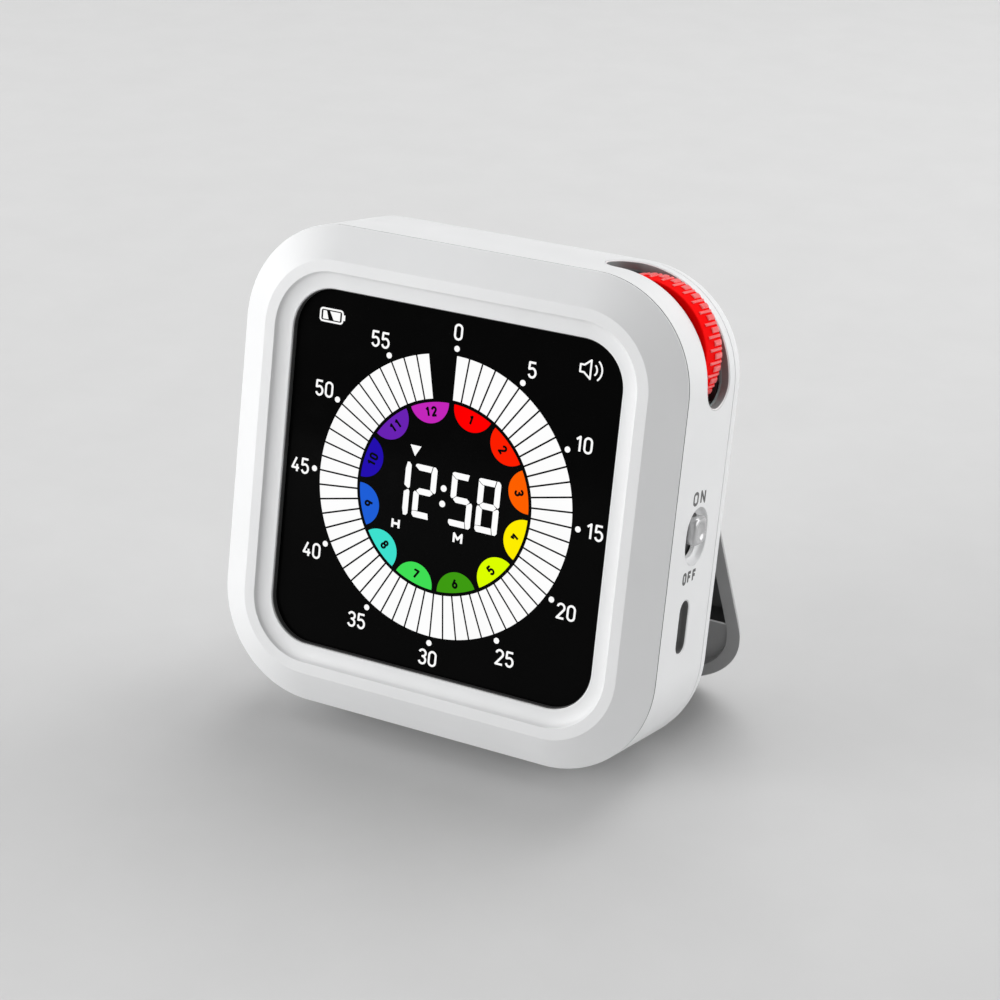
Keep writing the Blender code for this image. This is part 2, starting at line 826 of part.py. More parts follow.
def make_stand(case, looks):
    """Drawn closed, then turned open about the hinge line by its parent."""
    hinge = bpy.data.objects.new("stand_axis", None)
    hinge.parent = case
    hinge.location = Vector((0.0, HINGE_Y, HINGE_Z)) * MM
    hinge.rotation_euler = (STAND_OPEN, 0.0, 0.0)
    bpy.context.scene.collection.objects.link(hinge)

    closed = bpy.data.objects.new("stand_closed", None)
    closed.parent = hinge
    closed.location = Vector((0.0, -HINGE_Y, -HINGE_Z)) * MM
    bpy.context.scene.collection.objects.link(closed)

    stand = rear_body("kickstand", STAND_FACE - 4.0, closed)
    section = stand_section(STAND_FACE, HINGE_Y - STAND_FACE)
    limit = prism("stand_limit", section, -50.0, 50.0, closed, axis="X")
    boolean(stand, "INTERSECT", limit)

    rim_inset = STAND_RIM + 0.3
    lower_recess = prism(
        "stand_lower_recess",
        bottom_outline(rim_inset),
        STAND_FACE - 1.0,
        STAND_FACE + 1.3,
        closed,
    )
    side = CASE_HALF - rim_inset
    upper_recess = box(
        "stand_upper_recess",
        (-side, STAND_FACE - 1.0, BAR_TOP),
        (side, BACK - BACK_WALL, HINGE_Z - 4.6),
        closed,
    )
    pad_seat = box(
        "pad_seat_cutter",
        (-PAD_HALF - GAP, STAND_FACE - 1.0, -CASE_HALF - 1.0),
        (PAD_HALF + GAP, BACK, -CASE_HALF + 1.4),
        closed,
    )
    boolean(stand, "DIFFERENCE", lower_recess, upper_recess, pad_seat)

    for side_sign in (-1, 1):
        notch = box(
            "stand_notch_cutter",
            (side_sign * LUG_X - LUG_HALF - GAP, STAND_FACE - 1.0, HINGE_Z - 2.1),
            (side_sign * LUG_X + LUG_HALF + GAP, BACK + 1.0, HINGE_Z + 6.0),
            closed,
        )
        hole = pin_hole("stand_pin_hole", side_sign, closed)
        boolean(stand, "DIFFERENCE", notch, hole)
    finish(stand, looks["grey"], smooth=True)

    bottom = -CASE_HALF
    pad_section = [
        (STAND_FACE, bottom),
        (STAND_FACE + 0.8, bottom),
        (STAND_FACE + 2.0, bottom + 1.05),
        (STAND_FACE, bottom + 1.05),
    ]
    pad = prism("stand_pad", pad_section, -PAD_HALF, PAD_HALF, closed, axis="X")
    finish(pad, looks["rubber"])

    for name, side_sign in (("hinge_pin_left", -1), ("hinge_pin_right", 1)):
        reach = LUG_HALF + 3.5
        pin = prism(
            name,
            circle(PIN_RADIUS, (HINGE_Y, HINGE_Z), 12),
            side_sign * LUG_X - reach,
            side_sign * LUG_X + reach,
            case,
            axis="X",
        )
        finish(pin, looks["steel"], smooth=True)


# ---------------------------------------------------------------- whole object


def make_looks():
    return {
        "white": material("white_plastic", (0.86, 0.86, 0.85), 0.35),
        "grey": material("grey_plastic", (0.17, 0.17, 0.17), 0.5),
        "dark_grey": material("dark_grey_plastic", (0.05, 0.05, 0.05), 0.5),
        "red": material("red_plastic", (0.8, 0.005, 0.005), 0.3),
        "silver": material("silver_plastic", (0.62, 0.62, 0.62), 0.25),
        "black_glass": material("black_glass", (0.004, 0.004, 0.004), 0.08),
        "panel": material("lcd_glass", (0.03, 0.03, 0.035), 0.15),
        "film": material("clear_film", (0.85, 0.87, 0.9), 0.3),
        "tray": material("white_tray", (0.8, 0.8, 0.8), 0.45),
        "ribbon": material("amber_ribbon", (0.5, 0.24, 0.04), 0.4),
        "board": material("green_board", (0.02, 0.16, 0.06), 0.4),
        "chip": material("chip_resin", (0.02, 0.02, 0.02), 0.5),
        "foam": material("black_foam", (0.02, 0.02, 0.02), 0.9),
        "foil": material("cell_foil", (0.55, 0.56, 0.58), 0.35, 0.6),
        "steel": material("steel", (0.6, 0.6, 0.6), 0.3, 1.0),
        "rubber": material("rubber", (0.03, 0.03, 0.03), 0.8),
    }


def main():
    for existing in list(bpy.data.objects):
        bpy.data.objects.remove(existing, do_unlink=True)

    case = bpy.data.objects.new("case_frame", None)
    case.location = resting_place() * MM
    case.rotation_euler = (-LEAN, 0.0, 0.0)
    bpy.context.scene.collection.objects.link(case)

    looks = make_looks()
    make_bezel(case, looks["white"])
    make_housing(case, looks["white"])
    make_rear_cover(case, looks["white"])
    make_display(case, looks)
    make_wheel(case, looks)
    make_switch(case, looks)
    make_port(case, looks)
    make_electronics(case, looks)
    make_screws(case, looks)
    make_stand(case, looks)


main()
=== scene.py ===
"""Desk countdown timer: the looks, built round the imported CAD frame.

Shapes are drawn in millimetres in the case's own frame: X right, Y from the display to the back,
Z up, origin in the middle of the display's face. CASE turns that into the row frame, in metres.
"""

import json
from math import asin, atan2, cos, degrees, dist, hypot, pi, radians, sin, sqrt, tan

import bmesh
import bpy
import numpy as np
from mathutils import Matrix, Vector
from mathutils.geometry import delaunay_2d_cdt


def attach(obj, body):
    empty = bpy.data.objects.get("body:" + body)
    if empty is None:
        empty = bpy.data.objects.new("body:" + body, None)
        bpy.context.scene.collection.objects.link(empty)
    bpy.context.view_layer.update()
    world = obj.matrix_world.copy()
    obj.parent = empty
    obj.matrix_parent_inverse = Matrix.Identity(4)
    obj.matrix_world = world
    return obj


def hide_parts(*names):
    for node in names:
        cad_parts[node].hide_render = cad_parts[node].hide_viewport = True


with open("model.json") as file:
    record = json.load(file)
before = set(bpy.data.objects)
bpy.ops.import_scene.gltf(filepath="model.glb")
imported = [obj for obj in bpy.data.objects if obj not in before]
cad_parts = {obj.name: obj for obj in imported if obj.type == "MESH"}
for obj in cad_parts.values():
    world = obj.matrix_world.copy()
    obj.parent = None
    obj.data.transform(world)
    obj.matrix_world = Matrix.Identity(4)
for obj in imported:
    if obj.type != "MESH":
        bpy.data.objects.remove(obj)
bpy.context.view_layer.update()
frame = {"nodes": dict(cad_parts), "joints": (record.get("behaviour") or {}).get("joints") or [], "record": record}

# ---------- the case's frame

MM = 0.001
HINGE_Y, HINGE_Z = 24.3, -0.85
STAND_OPEN = radians(35.0)
JOINTS = {joint["name"]: joint for joint in frame["joints"]}
BACKWARD = Vector(JOINTS["wheel_turn"]["axis"]).normalized()
UPWARD = Vector(JOINTS["switch_slide"]["axis"]).normalized()
RIGHTWARD = BACKWARD.cross(UPWARD)
MIDDLE = Vector(JOINTS["stand_hinge"]["pos_m"]) - (BACKWARD * HINGE_Y + UPWARD * HINGE_Z) * MM
TURN = Matrix((RIGHTWARD, BACKWARD, UPWARD)).transposed()
CASE = Matrix.Translation(MIDDLE) @ TURN.to_4x4() @ Matrix.Scale(MM, 4)
HINGE = Matrix.Translation((0.0, HINGE_Y, HINGE_Z))
STAND = CASE @ HINGE @ Matrix.Rotation(STAND_OPEN, 4, "X") @ HINGE.inverted()

# The case, as in the CAD apart from the front seam and the slot's back edge
HALF = 41.0
RADIUS = 18.0
CORNER = HALF - RADIUS
FRONT = -2.26
BACK = 25.74
WALL = 1.7
BACK_WALL = 1.8
BACK_EDGE_RADIUS = 6.7
LOWER_BACK = 20.6
STAND_FACE = 20.9
BEZEL_BACK, HOUSING_FRONT = 0.82, 1.1
HOUSING_BACK, COVER_FRONT = 18.6, 18.73
GROOVE = 0.4
WHEEL_X = WHEEL_Z = 28.0
WHEEL_RADIUS = 12.2
SLOT_FRONT, SLOT_BACK = 8.0, 16.3
SWITCH_Y, SWITCH_Z = 10.25, 1.0
PORT_Y, PORT_Z = 9.05, -15.0
DIAL_Z = -0.34
CASE_SCREWS = ((-11.0, 34.5), (11.0, 34.5), (-31.0, -31.0), (31.0, -31.0))
LUG_X, LUG_HALF, PIN_HOLE_RADIUS = 24.0, 3.0, 0.8
POST_RADIUS, BOSS_RADIUS, BORE_RADIUS, HEAD_RADIUS = 2.5, 3.3, 1.25, 1.9
POST_BACK, BOSS_FRONT, SCREW_SEAT = 16.0, 16.3, 18.9
BEYOND = 50.0  # farther out than the case reaches, for solids that cut right through it

CORNER_STEPS = 28
PROFILE_STEPS = 4
QUARTERS = ((1, 1), (-1, 1), (-1, -1), (1, -1))


# ---------- outlines and profiles


def outline(inset):
    """The case's outline moved in by inset: ((x, z), (normal x, normal z)) counter-clockwise."""
    radius = RADIUS - inset
    points = []
    for quarter, (side_x, side_z) in enumerate(QUARTERS):
        for step in range(CORNER_STEPS + 1):
            angle = pi / 2 * (quarter + step / CORNER_STEPS)
            normal = (cos(angle), sin(angle))
            place = (side_x * CORNER + radius * normal[0], side_z * CORNER + radius * normal[1])
            points.append((place, normal))
    return points


def rounded_profile(corners):
    """Rounds the corners (a, b, radius) of a closed profile: (a, b, normal a, normal b).

    The outside is on the right when walking along the profile. A radius of None keeps the point
    and gives it the mean direction, for a point on a curve.
    """
    count = len(corners)
    result = []
    for i in range(count):
        before = Vector(corners[i - 1][:2])
        here = Vector(corners[i][:2])
        after = Vector(corners[(i + 1) % count][:2])
        radius = corners[i][2]
        inward = (here - before).normalized()
        onward = (after - here).normalized()
        if radius is None:
            along = (inward + onward).normalized()
            result.append((here.x, here.y, along.y, -along.x))
            continue
        bend = atan2(inward.cross(onward), inward.dot(onward))
        side = 1.0 if bend > 0 else -1.0
        start = here - inward * (radius * tan(abs(bend) / 2))
        centre = start + Vector((-inward.y, inward.x)) * (radius * side)
        for step in range(PROFILE_STEPS + 1):
            heading = Matrix.Rotation(bend * step / PROFILE_STEPS, 2) @ inward
            right = Vector((heading.y, -heading.x))
            place = centre + right * (radius * side)
            result.append((place.x, place.y, right.x, right.y))
    return result


def stadium(half_a, half_b, radius, middle, steps):
    """A rounded rectangle as points counter-clockwise, with no two of them together."""
    together = 1e-5
    points = []
    for quarter, (side_a, side_b) in enumerate(QUARTERS):
        for step in range(steps + 1):
            angle = pi / 2 * (quarter + step / steps)
            a = middle[0] + side_a * (half_a - radius) + radius * cos(angle)
            b = middle[1] + side_b * (half_b - radius) + radius * sin(angle)
            if not points or dist((a, b), points[-1]) >= together:
                points.append((a, b))
    if dist(points[0], points[-1]) < together:
        points.pop()
    return points


def pill(half_a, half_b, middle, steps):
    """A rounded rectangle with round ends."""
    return stadium(half_a, half_b, half_b - 0.001, middle, steps)


def circle(radius, middle, steps):
    turns = [2 * pi / steps * i for i in range(steps)]
    return moved([(radius * cos(turn), radius * sin(turn)) for turn in turns], middle)


def oval(middle, half_a, half_b, start=0, end=360, steps=24):
    """Points on an ellipse, with the angles in degrees."""
    turns = [radians(start + (end - start) * step / steps) for step in range(steps + 1)]
    return moved([(half_a * cos(turn), half_b * sin(turn)) for turn in turns], middle)


def arc(middle, radius, start, end, steps):
    return oval(middle, radius, radius, start, end, steps)


def moved(points, place):
    return [(place[0] + a, place[1] + b) for a, b in points]


# ---------- meshes

CUT, JOIN = "DIFFERENCE", "UNION"


def make_mesh(name, points, faces, place=CASE, normals=None, face_slots=None, turn=False):
    """A mesh object from points in millimetres. Normals, one a point, are kept as given."""
    mesh = bpy.data.meshes.new(name)
    mesh.from_pydata([place @ Vector(point) for point in points], [], faces)
    if face_slots:
        mesh.polygons.foreach_set("material_index", face_slots)
    if turn:
        work = bmesh.new()
        work.from_mesh(mesh)
        bmesh.ops.recalc_face_normals(work, faces=work.faces)
        work.to_mesh(mesh)
        work.free()
    shade_smooth(mesh, True)
    mesh.update()
    if normals is not None:
        rotation = place.to_3x3().normalized()
        turned_normals = [(rotation @ Vector(normal)).normalized() for normal in normals]
        mesh.normals_split_custom_set_from_vertices(turned_normals)
    piece = bpy.data.objects.new(name, mesh)
    bpy.context.scene.collection.objects.link(piece)
    return piece


def shade_smooth(mesh, smooth):
    mesh.polygons.foreach_set("use_smooth", [smooth] * len(mesh.polygons))


def settle(piece, body, materials, replaced=()):
    """Gives a piece its materials, ties it to its CAD body and hides the CAD parts it stands for."""
    for material in materials:
        piece.data.materials.append(material)
    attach(piece, body)
    if replaced:
        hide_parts(*replaced)


def loft_faces(rings, count, closed):
    """Quadrilaterals between rings of count points, and back to the first ring if closed."""
    faces = []
    for ring in range(rings if closed else rings - 1):
        near, far = ring * count, (ring + 1) % rings * count
        for i in range(count):
            j = (i + 1) % count
            faces.append((near + i, near + j, far + j, far + i))
    return faces


def case_loft(name, profile):
    """Sweeps a closed profile (inset, y, normal inset, normal y) round the case's outline."""
    points, normals = [], []
    for inset, y, normal_inset, normal_y in profile:
        for (x, z), (out_x, out_z) in outline(inset):
            points.append((x, y, z))
            normals.append((-normal_inset * out_x, normal_y, -normal_inset * out_z))
    faces = loft_faces(len(profile), 4 * (CORNER_STEPS + 1), True)
    return make_mesh(name, points, faces, normals=normals)


def loft(name, rings, place=CASE, closed=False):
    """Joins rings of equally many points, one after the other, and caps the two ends."""
    count = len(rings[0])
    points = [point for ring in rings for point in ring]
    faces = loft_faces(len(rings), count, closed)
    if not closed:
        last = (len(rings) - 1) * count
        faces.append(tuple(range(count)))
        faces.append(tuple(range(last, last + count)))
    return make_mesh(name, points, faces, place, turn=True)


def prism(name, shape, low, high, place=CASE, axis="Y"):
    """A flat shape drawn out along Y, as (x, z), or along X, as (y, z)."""
    if axis == "Y":
        rings = [[(a, depth, b) for a, b in shape] for depth in (low, high)]
    else:
        rings = [[(depth, a, b) for a, b in shape] for depth in (low, high)]
    return loft(name, rings, place)


def turned(name, sections, middle, steps=32):
    """Round sections (radius, y) about a line along Y through middle, as (x, z)."""
    rings = [[(x, y, z) for x, z in circle(radius, middle, steps)] for radius, y in sections]
    return loft(name, rings)


def box(name, low, high, place=CASE):
    x0, y0, z0 = low
    x1, y1, z1 = high
    return prism(name, [(x0, z0), (x1, z0), (x1, z1), (x0, z1)], y0, y1, place)


def carve(piece, steps):
    """Applies (operation, other) Booleans in order and removes the other objects."""
    for operation, other in steps:
        modifier = piece.modifiers.new("Carve", "BOOLEAN")
        modifier.operation = operation
        modifier.solver = "EXACT"
        modifier.object = other
    bpy.context.view_layer.update()
    graph = bpy.context.evaluated_depsgraph_get()
    mesh = bpy.data.meshes.new_from_object(piece.evaluated_get(graph), depsgraph=graph)
    piece.modifiers.clear()
    piece.data = mesh
    for _, other in steps:
        bpy.data.objects.remove(other, do_unlink=True)


def even_shade(piece, weight):
    """Lets the large faces set the normals, so that flats look flat beside their edges."""
    piece.modifiers.new("Shade", "WEIGHTED_NORMAL").weight = weight


def soften(piece, width, segments=2):
    """Rounds a carved piece's edges and shades its flats flat."""
    together, flat_angle, sharp_angle = 2e-6, radians(0.5), radians(35.0)
    work = bmesh.new()
    work.from_mesh(piece.data)
    bmesh.ops.remove_doubles(work, verts=work.verts, dist=together)
    bmesh.ops.dissolve_degenerate(work, edges=work.edges, dist=together)
    bmesh.ops.dissolve_limit(work, angle_limit=flat_angle, verts=work.verts, edges=work.edges)
    work.to_mesh(piece.data)
    work.free()
    shade_smooth(piece.data, True)
    edge = piece.modifiers.new("Edge", "BEVEL")
    edge.width = width * MM
    edge.segments = segments
    edge.limit_method = "ANGLE"
    edge.angle_limit = sharp_angle
    edge.use_clamp_overlap = True
    even_shade(piece, 60)


# ---------- materials

# Noise scales are in patterns per metre, depths of relief in metres
COLOUR_SCALE, GLOSS_SCALE, GLOW_SCALE, GRAIN_SCALE = 60.0, 260.0, 90.0, 9000.0
GLOSS_CHANGE = 0.04
GRAIN_DEPTH = 0.00001
NOISE_LOW, NOISE_HIGH = 0.3, 0.7


def put(node, **sockets):
    """Sets a node's input sockets, with _ for the spaces in their names."""
    for socket, value in sockets.items():
        node.inputs[socket.replace("_", " ")].default_value = value
    return node


def principled(name, colour, roughness, **sockets):
    material = bpy.data.materials.new(name)
    material.use_nodes = True
    shader = material.node_tree.nodes["Principled BSDF"]
    return material, put(shader, Base_Color=(*colour, 1.0), Roughness=roughness, **sockets)


def noise(tree, scale, detail=2.0, stretch=None):
    """A noise texture in object space."""
    nodes, links = tree.nodes, tree.links
    texture = put(nodes.new("ShaderNodeTexNoise"), Scale=scale, Detail=detail)
    place = nodes.new("ShaderNodeTexCoord").outputs["Object"]
    if stretch:
        mapping = put(nodes.new("ShaderNodeMapping"), Scale=stretch)
        links.new(place, mapping.inputs["Vector"])
        place = mapping.outputs["Vector"]
    links.new(place, texture.inputs["Vector"])
    return texture.outputs["Fac"]


def spread(tree, value, low, high):
    """Maps a noise value onto low..high."""
    node = tree.nodes.new("ShaderNodeMapRange")
    put(node, From_Min=NOISE_LOW, From_Max=NOISE_HIGH, To_Min=low, To_Max=high)
    tree.links.new(value, node.inputs["Value"])
    return node.outputs["Result"]


def tint(tree, value, dark, light):
    """Mixes two colours by a noise value."""
    node = tree.nodes.new("ShaderNodeMix")
    node.data_type = "RGBA"
    put(node, A=(*dark, 1.0), B=(*light, 1.0))
    tree.links.new(spread(tree, value, 0.0, 1.0), node.inputs["Factor"])
    return node.outputs["Result"]


def bump(tree, shader, height, strength):
    node = put(tree.nodes.new("ShaderNodeBump"), Strength=strength, Distance=GRAIN_DEPTH)
    tree.links.new(height, node.inputs["Height"])
    tree.links.new(node.outputs["Normal"], shader.inputs["Normal"])


def moulded(name, dark, light, roughness, grain=GRAIN_SCALE, strength=0.25, **sockets):
    """Moulded plastic: a fine grain, slow changes of colour and of gloss."""
    material, shader = principled(name, light, roughness, **sockets)
    tree = material.node_tree
    colour = tint(tree, noise(tree, COLOUR_SCALE, 3.0), dark, light)
    tree.links.new(colour, shader.inputs["Base Color"])
    patches = noise(tree, GLOSS_SCALE, 4.0)
    gloss = spread(tree, patches, roughness - GLOSS_CHANGE, roughness + GLOSS_CHANGE)
    tree.links.new(gloss, shader.inputs["Roughness"])
    bump(tree, shader, noise(tree, grain), strength)
    return material


def lit(name, colour):
    """A lit part of the display."""
    sockets = {"Specular_IOR_Level": 0.0, "Emission_Strength": 1.0}
    material, shader = principled(name, (0.0, 0.0, 0.0), 0.5, **sockets)
    tree = material.node_tree
    dim = tuple(channel * 0.97 for channel in colour)
    glow = tint(tree, noise(tree, GLOW_SCALE), dim, colour)
    tree.links.new(glow, shader.inputs["Emission Color"])
    return material


def metal(name, colour, scale, strength, stretch=None):
    """Bare metal with a fine relief."""
    material, shader = principled(name, colour, 0.3, Metallic=1.0)
    tree = material.node_tree
    bump(tree, shader, noise(tree, scale, stretch=stretch), strength)
    return material


WHITE = moulded("white_plastic", (0.83, 0.835, 0.84), (0.86, 0.865, 0.87), 0.42)
# Painted shade: a dark grey for the white housing's walls deep in the wheel's slot
SLOT_SHADE = moulded("slot_painted_shade", (0.21, 0.255, 0.256), (0.24, 0.29, 0.291), 0.45)
# Painted shade: a grey for the housing's front end face, in the seam with the bezel
SEAM_SHADE = moulded("seam_painted_shade", (0.3, 0.3, 0.302), (0.36, 0.36, 0.362), 0.5)
# Painted shade: a dark grey for the white housing's walls deep in the port
PORT_SHADE = moulded("port_painted_shade", (0.19, 0.19, 0.19), (0.22, 0.22, 0.22), 0.5)
GREY = moulded("grey_plastic", (0.34, 0.34, 0.342), (0.385, 0.385, 0.387), 0.5, strength=0.4)
# Painted shade: a near black grey for the deep faces of the stand's upper hollow
GREY_SHADE = moulded("grey_recess_painted_shade", (0.06, 0.06, 0.061), (0.08, 0.08, 0.081), 0.6)
# Painted highlight: a light grey for the front face of the stand's rib, where its edge catches the light
GREY_HIGHLIGHT = moulded("grey_rib_painted_highlight", (0.66, 0.66, 0.662), (0.72, 0.72, 0.722), 0.4)
# Painted shade: a near black for the inside of the display opening's lip
LIP_SHADE = moulded("lip_painted_shade", (0.06, 0.06, 0.06), (0.075, 0.075, 0.075), 0.6)
DARK = moulded("dark_grey_plastic", (0.03, 0.03, 0.03), (0.045, 0.045, 0.045), 0.55)
RED = moulded("red_plastic", (0.93, 0.0, 0.0), (0.98, 0.001, 0.001), 0.6, Specular_IOR_Level=0.03)
# Painted highlight: a pinkish red for the ribs' tops; their lower roughness is real gloss
RED_RIB_HIGHLIGHT = moulded("red_rib_painted_highlight", (0.93, 0.12, 0.12), (0.98, 0.17, 0.17), 0.3, strength=0.1)
SILVER = moulded(
    "silver_plastic", (0.52, 0.52, 0.525), (0.58, 0.58, 0.585), 0.2, strength=0.1, Metallic=0.4
)
BLACKS = ((0.0022, 0.0022, 0.0022), (0.0026, 0.0026, 0.0026))
GLASS = moulded("black_glass", *BLACKS, 0.08, strength=0.02, Specular_IOR_Level=0.02)
RUBBER = moulded("rubber", (0.02, 0.02, 0.02), (0.032, 0.032, 0.032), 0.85, strength=0.5)
INK = moulded("label_ink", (0.1, 0.1, 0.1), (0.13, 0.13, 0.13), 0.6)
STEEL = metal("steel", (0.6, 0.6, 0.6), 1500.0, 0.2, stretch=(1.0, 12.0, 1.0))
GOLD = metal("contact_gold", (0.75, 0.52, 0.2), 4000.0, 0.1)


# ---------- front bezel

# Insets from the case's outline
RIM_START, RIM_END = 5.5, 7.45
OPENING, LEDGE = 10.4, 9.4
COVE_WIDTH, COVE_DEPTH = 2.95, 1.01


def cove_corners():
    """The shallow hollow between the rim and the lip, as points on a curve."""
    corners = []
    for turn in [radians(angle) for angle in (24, 36, 48, 60, 72, 82)]:
        inset = RIM_END + COVE_WIDTH * (1 - cos(turn))
        corners.append((inset, FRONT + COVE_DEPTH * sin(turn), None))
    return corners


def make_bezel():
    seat = HOUSING_FRONT - 0.02
    corners = [(0.0, BEZEL_BACK, 0.05), (0.0, 0.63, 0.16)]
    corners += [(RIM_START, FRONT, 0.3), (RIM_END, FRONT, 0.18)]
    corners += cove_corners()
    corners += [(OPENING, -1.25, 0.24), (OPENING, -0.03, 0.05)]
    corners += [(LEDGE, -0.03, 0.05), (LEDGE, 2.2, 0.08), (8.0, 2.2, 0.08), (8.0, -0.45, 0.08)]
    corners += [(5.9, -0.45, 0.08), (3.0, 1.1, 0.08), (3.0, 3.2, 0.08), (2.0, 3.2, 0.08)]
    corners += [(2.0, seat, 0.02), (GROOVE, seat, 0.02), (GROOVE, BEZEL_BACK, 0.01)]
    bezel = case_loft("bezel", rounded_profile(corners))
    settle(bezel, "case", [WHITE], ["front_bezel"])

    # A thin dark strip over the lip's inner wall, in front of the glass: painted shade
    strip = [(10.54, -0.92, 0.06), (10.54, -0.02, 0.04), (10.36, -0.02, 0.04), (10.36, -0.92, 0.04)]
    lip_shade = case_loft("window_lip_shade", rounded_profile(strip))
    settle(lip_shade, "case", [LIP_SHADE])

    sections = [(POST_RADIUS, -0.4), (POST_RADIUS, POST_BACK), (1.2, POST_BACK), (1.2, 7.0)]
    for number, place in enumerate(CASE_SCREWS, 1):
        post = turned(f"bezel_post_{number}", sections, place)
        settle(post, "case", [WHITE])


# ---------- side housing

# The distance along the outline runs clockwise from the left end of the top's straight run
STRAIGHT = 2 * CORNER
QUARTER = RADIUS * pi / 2
SIDE = STRAIGHT + QUARTER
ROUND = 4 * SIDE
HOUSING_EDGE = 0.1
NEARLY = 1e-9

# How far the wheel's slot reaches past the corner along the top and down the right side, and the
# radius of the lip round it
SLOT_TOP, SLOT_SIDE = 3.5, 2.3
LIP = 0.28
LIP_ANGLES = (90, 68, 45, 22, 0)
LIP_BANDS = 3

# Half heights and half depths
RECESS_OUTER, RECESS_INNER = (4.85, 4.0), (3.7, 2.35)
PORT_HALF = (4.45, 1.65)
PORT_LIP_SHARE = 0.7

# How far in and how deep the switch's recess goes: a round edge, a steep wall, a sloping floor
RECESS_WALL = (
    (0.0, 0.0), (0.035, 0.02), (0.075, 0.09), (0.11, 0.2), (0.17, 0.42),
    (0.25, 0.62), (0.38, 0.8), (0.58, 0.95), (0.8, 1.06), (1.0, 1.12),
)

# The housing's material slots after the first, its own white: painted shade on the walls deep in the wheel's slot
# and in the port, and on the front end face in the seam
SHADE_IN_SLOT, SHADE_IN_PORT, SHADE_IN_SEAM = 1, 2, 3


def along_wall(distance):
    """The outline's point and outward normal at a distance along it."""
    side, rest = divmod(distance, SIDE)
    if rest <= STRAIGHT:
        place, normal = Vector((rest - CORNER, HALF)), Vector((0.0, 1.0))
    else:
        angle = pi / 2 - (rest - STRAIGHT) / RADIUS
        normal = Vector((cos(angle), sin(angle)))
        place = Vector((CORNER, CORNER)) + normal * RADIUS
    spin = Matrix.Rotation(-pi / 2 * int(side), 2)
    return spin @ place, spin @ normal


def wall_point(distance, y, depth):
    place, normal = along_wall(distance)
    place = place - normal * depth
    return (place.x, y, place.y)


def wall_stations():
    """Distances at which every row of the wall has a point, closer together in the corners."""
    stations = []
    for side in range(4):
        start = side * SIDE
        stations += [start + STRAIGHT * step / 8 for step in range(8)]
        start += STRAIGHT
        stations += [start + QUARTER * step / CORNER_STEPS for step in range(CORNER_STEPS)]
    return stations


def right_side(z):
    """The distance along the outline at a height on the right side."""
    return SIDE + CORNER - z


def cut_sides(ring):
    """Cuts the two long sides of a slot's ring, so that they can follow the corner."""
    long_side, cuts = 5.0, 36
    finer = []
    for (a0, b0), (a1, b1) in zip(ring, ring[1:] + ring[:1]):
        count = cuts if hypot(a1 - a0, b1 - b0) > long_side else 1
        for share in (cut / count for cut in range(count)):
            finer.append((a0 + (a1 - a0) * share, b0 + (b1 - b0) * share))
    return finer


def at_depth(ring, depth):
    return [(a, b, depth) for a, b in ring]


def hole_loops():
    """Holes in the wall: (material slot, rings of (distance, y, depth) from outside to inside)."""
    turns = [radians(angle) for angle in LIP_ANGLES]
    lip = [(LIP * (1 - cos(turn)), LIP * (1 - sin(turn))) for turn in turns]

    start, end = STRAIGHT - SLOT_TOP, SIDE + SLOT_SIDE
    middle = ((start + end) / 2, (SLOT_FRONT + SLOT_BACK) / 2)
    half, tall = (end - start) / 2, (SLOT_BACK - SLOT_FRONT) / 2
    slot = []
    for grow, depth in lip:
        slot.append(at_depth(cut_sides(pill(half + grow, tall + grow, middle, 14)), depth))
    ring = cut_sides(pill(half, tall, middle, 14))
    slot += [at_depth(ring, depth) for depth in (0.6, 1.2, WALL)]

    middle = (right_side(0.0), SWITCH_Y)
    recess = []
    for share, depth in RECESS_WALL:
        halves = [a + (b - a) * share for a, b in zip(RECESS_OUTER, RECESS_INNER)]
        recess.append(at_depth(pill(*halves, middle, 12), depth))
    recess.append(at_depth(pill(*RECESS_INNER, middle, 12), WALL))

    middle = (right_side(PORT_Z), PORT_Y)
    port = []
    for grow, depth in lip:
        halves = [half + grow * PORT_LIP_SHARE for half in PORT_HALF]
        port.append(at_depth(pill(*halves, middle, 10), depth * PORT_LIP_SHARE))
    ring = pill(*PORT_HALF, middle, 10)
    port += [at_depth(ring, depth) for depth in (0.8, WALL)]
    return [(SHADE_IN_SLOT, slot), (0, recess), (SHADE_IN_PORT, port)]


def inside(point, polygon):
    """Whether a point lies in a polygon."""
    x, y = point
    found = False
    for i in range(len(polygon)):
        (x0, y0), (x1, y1) = polygon[i - 1], polygon[i]
        if (y0 > y) != (y1 > y) and x < (x1 - x0) * (y - y0) / (y1 - y0) + x0:
            found = not found
    return found


def crowded(point, hole):
    """Whether a point lies in a hole or too near its rim to be of use."""
    return inside(point, hole) or any(dist(point, place) < 0.45 for place in hole)


def fill_patch(border, holes, extra):
    """Triangles between a border and the holes in it: (points, triangles)."""
    points, edges = [], []
    for ring in [border] + holes:
        start = len(points)
        points += ring
        edges += [(start + i, start + (i + 1) % len(ring)) for i in range(len(ring))]
    points += [point for point in extra if not any(crowded(point, hole) for hole in holes)]
    made, _, triangles, *_ = delaunay_2d_cdt([Vector(p) for p in points], edges, [], 1, 1e-6)
    made = [(v.x, v.y) for v in made]
    kept = []
    for triangle in triangles:
        centre = [sum(made[i][axis] for i in triangle) / len(triangle) for axis in (0, 1)]
        if not any(inside(centre, hole) for hole in holes):
            kept.append(tuple(triangle))
    return made, kept


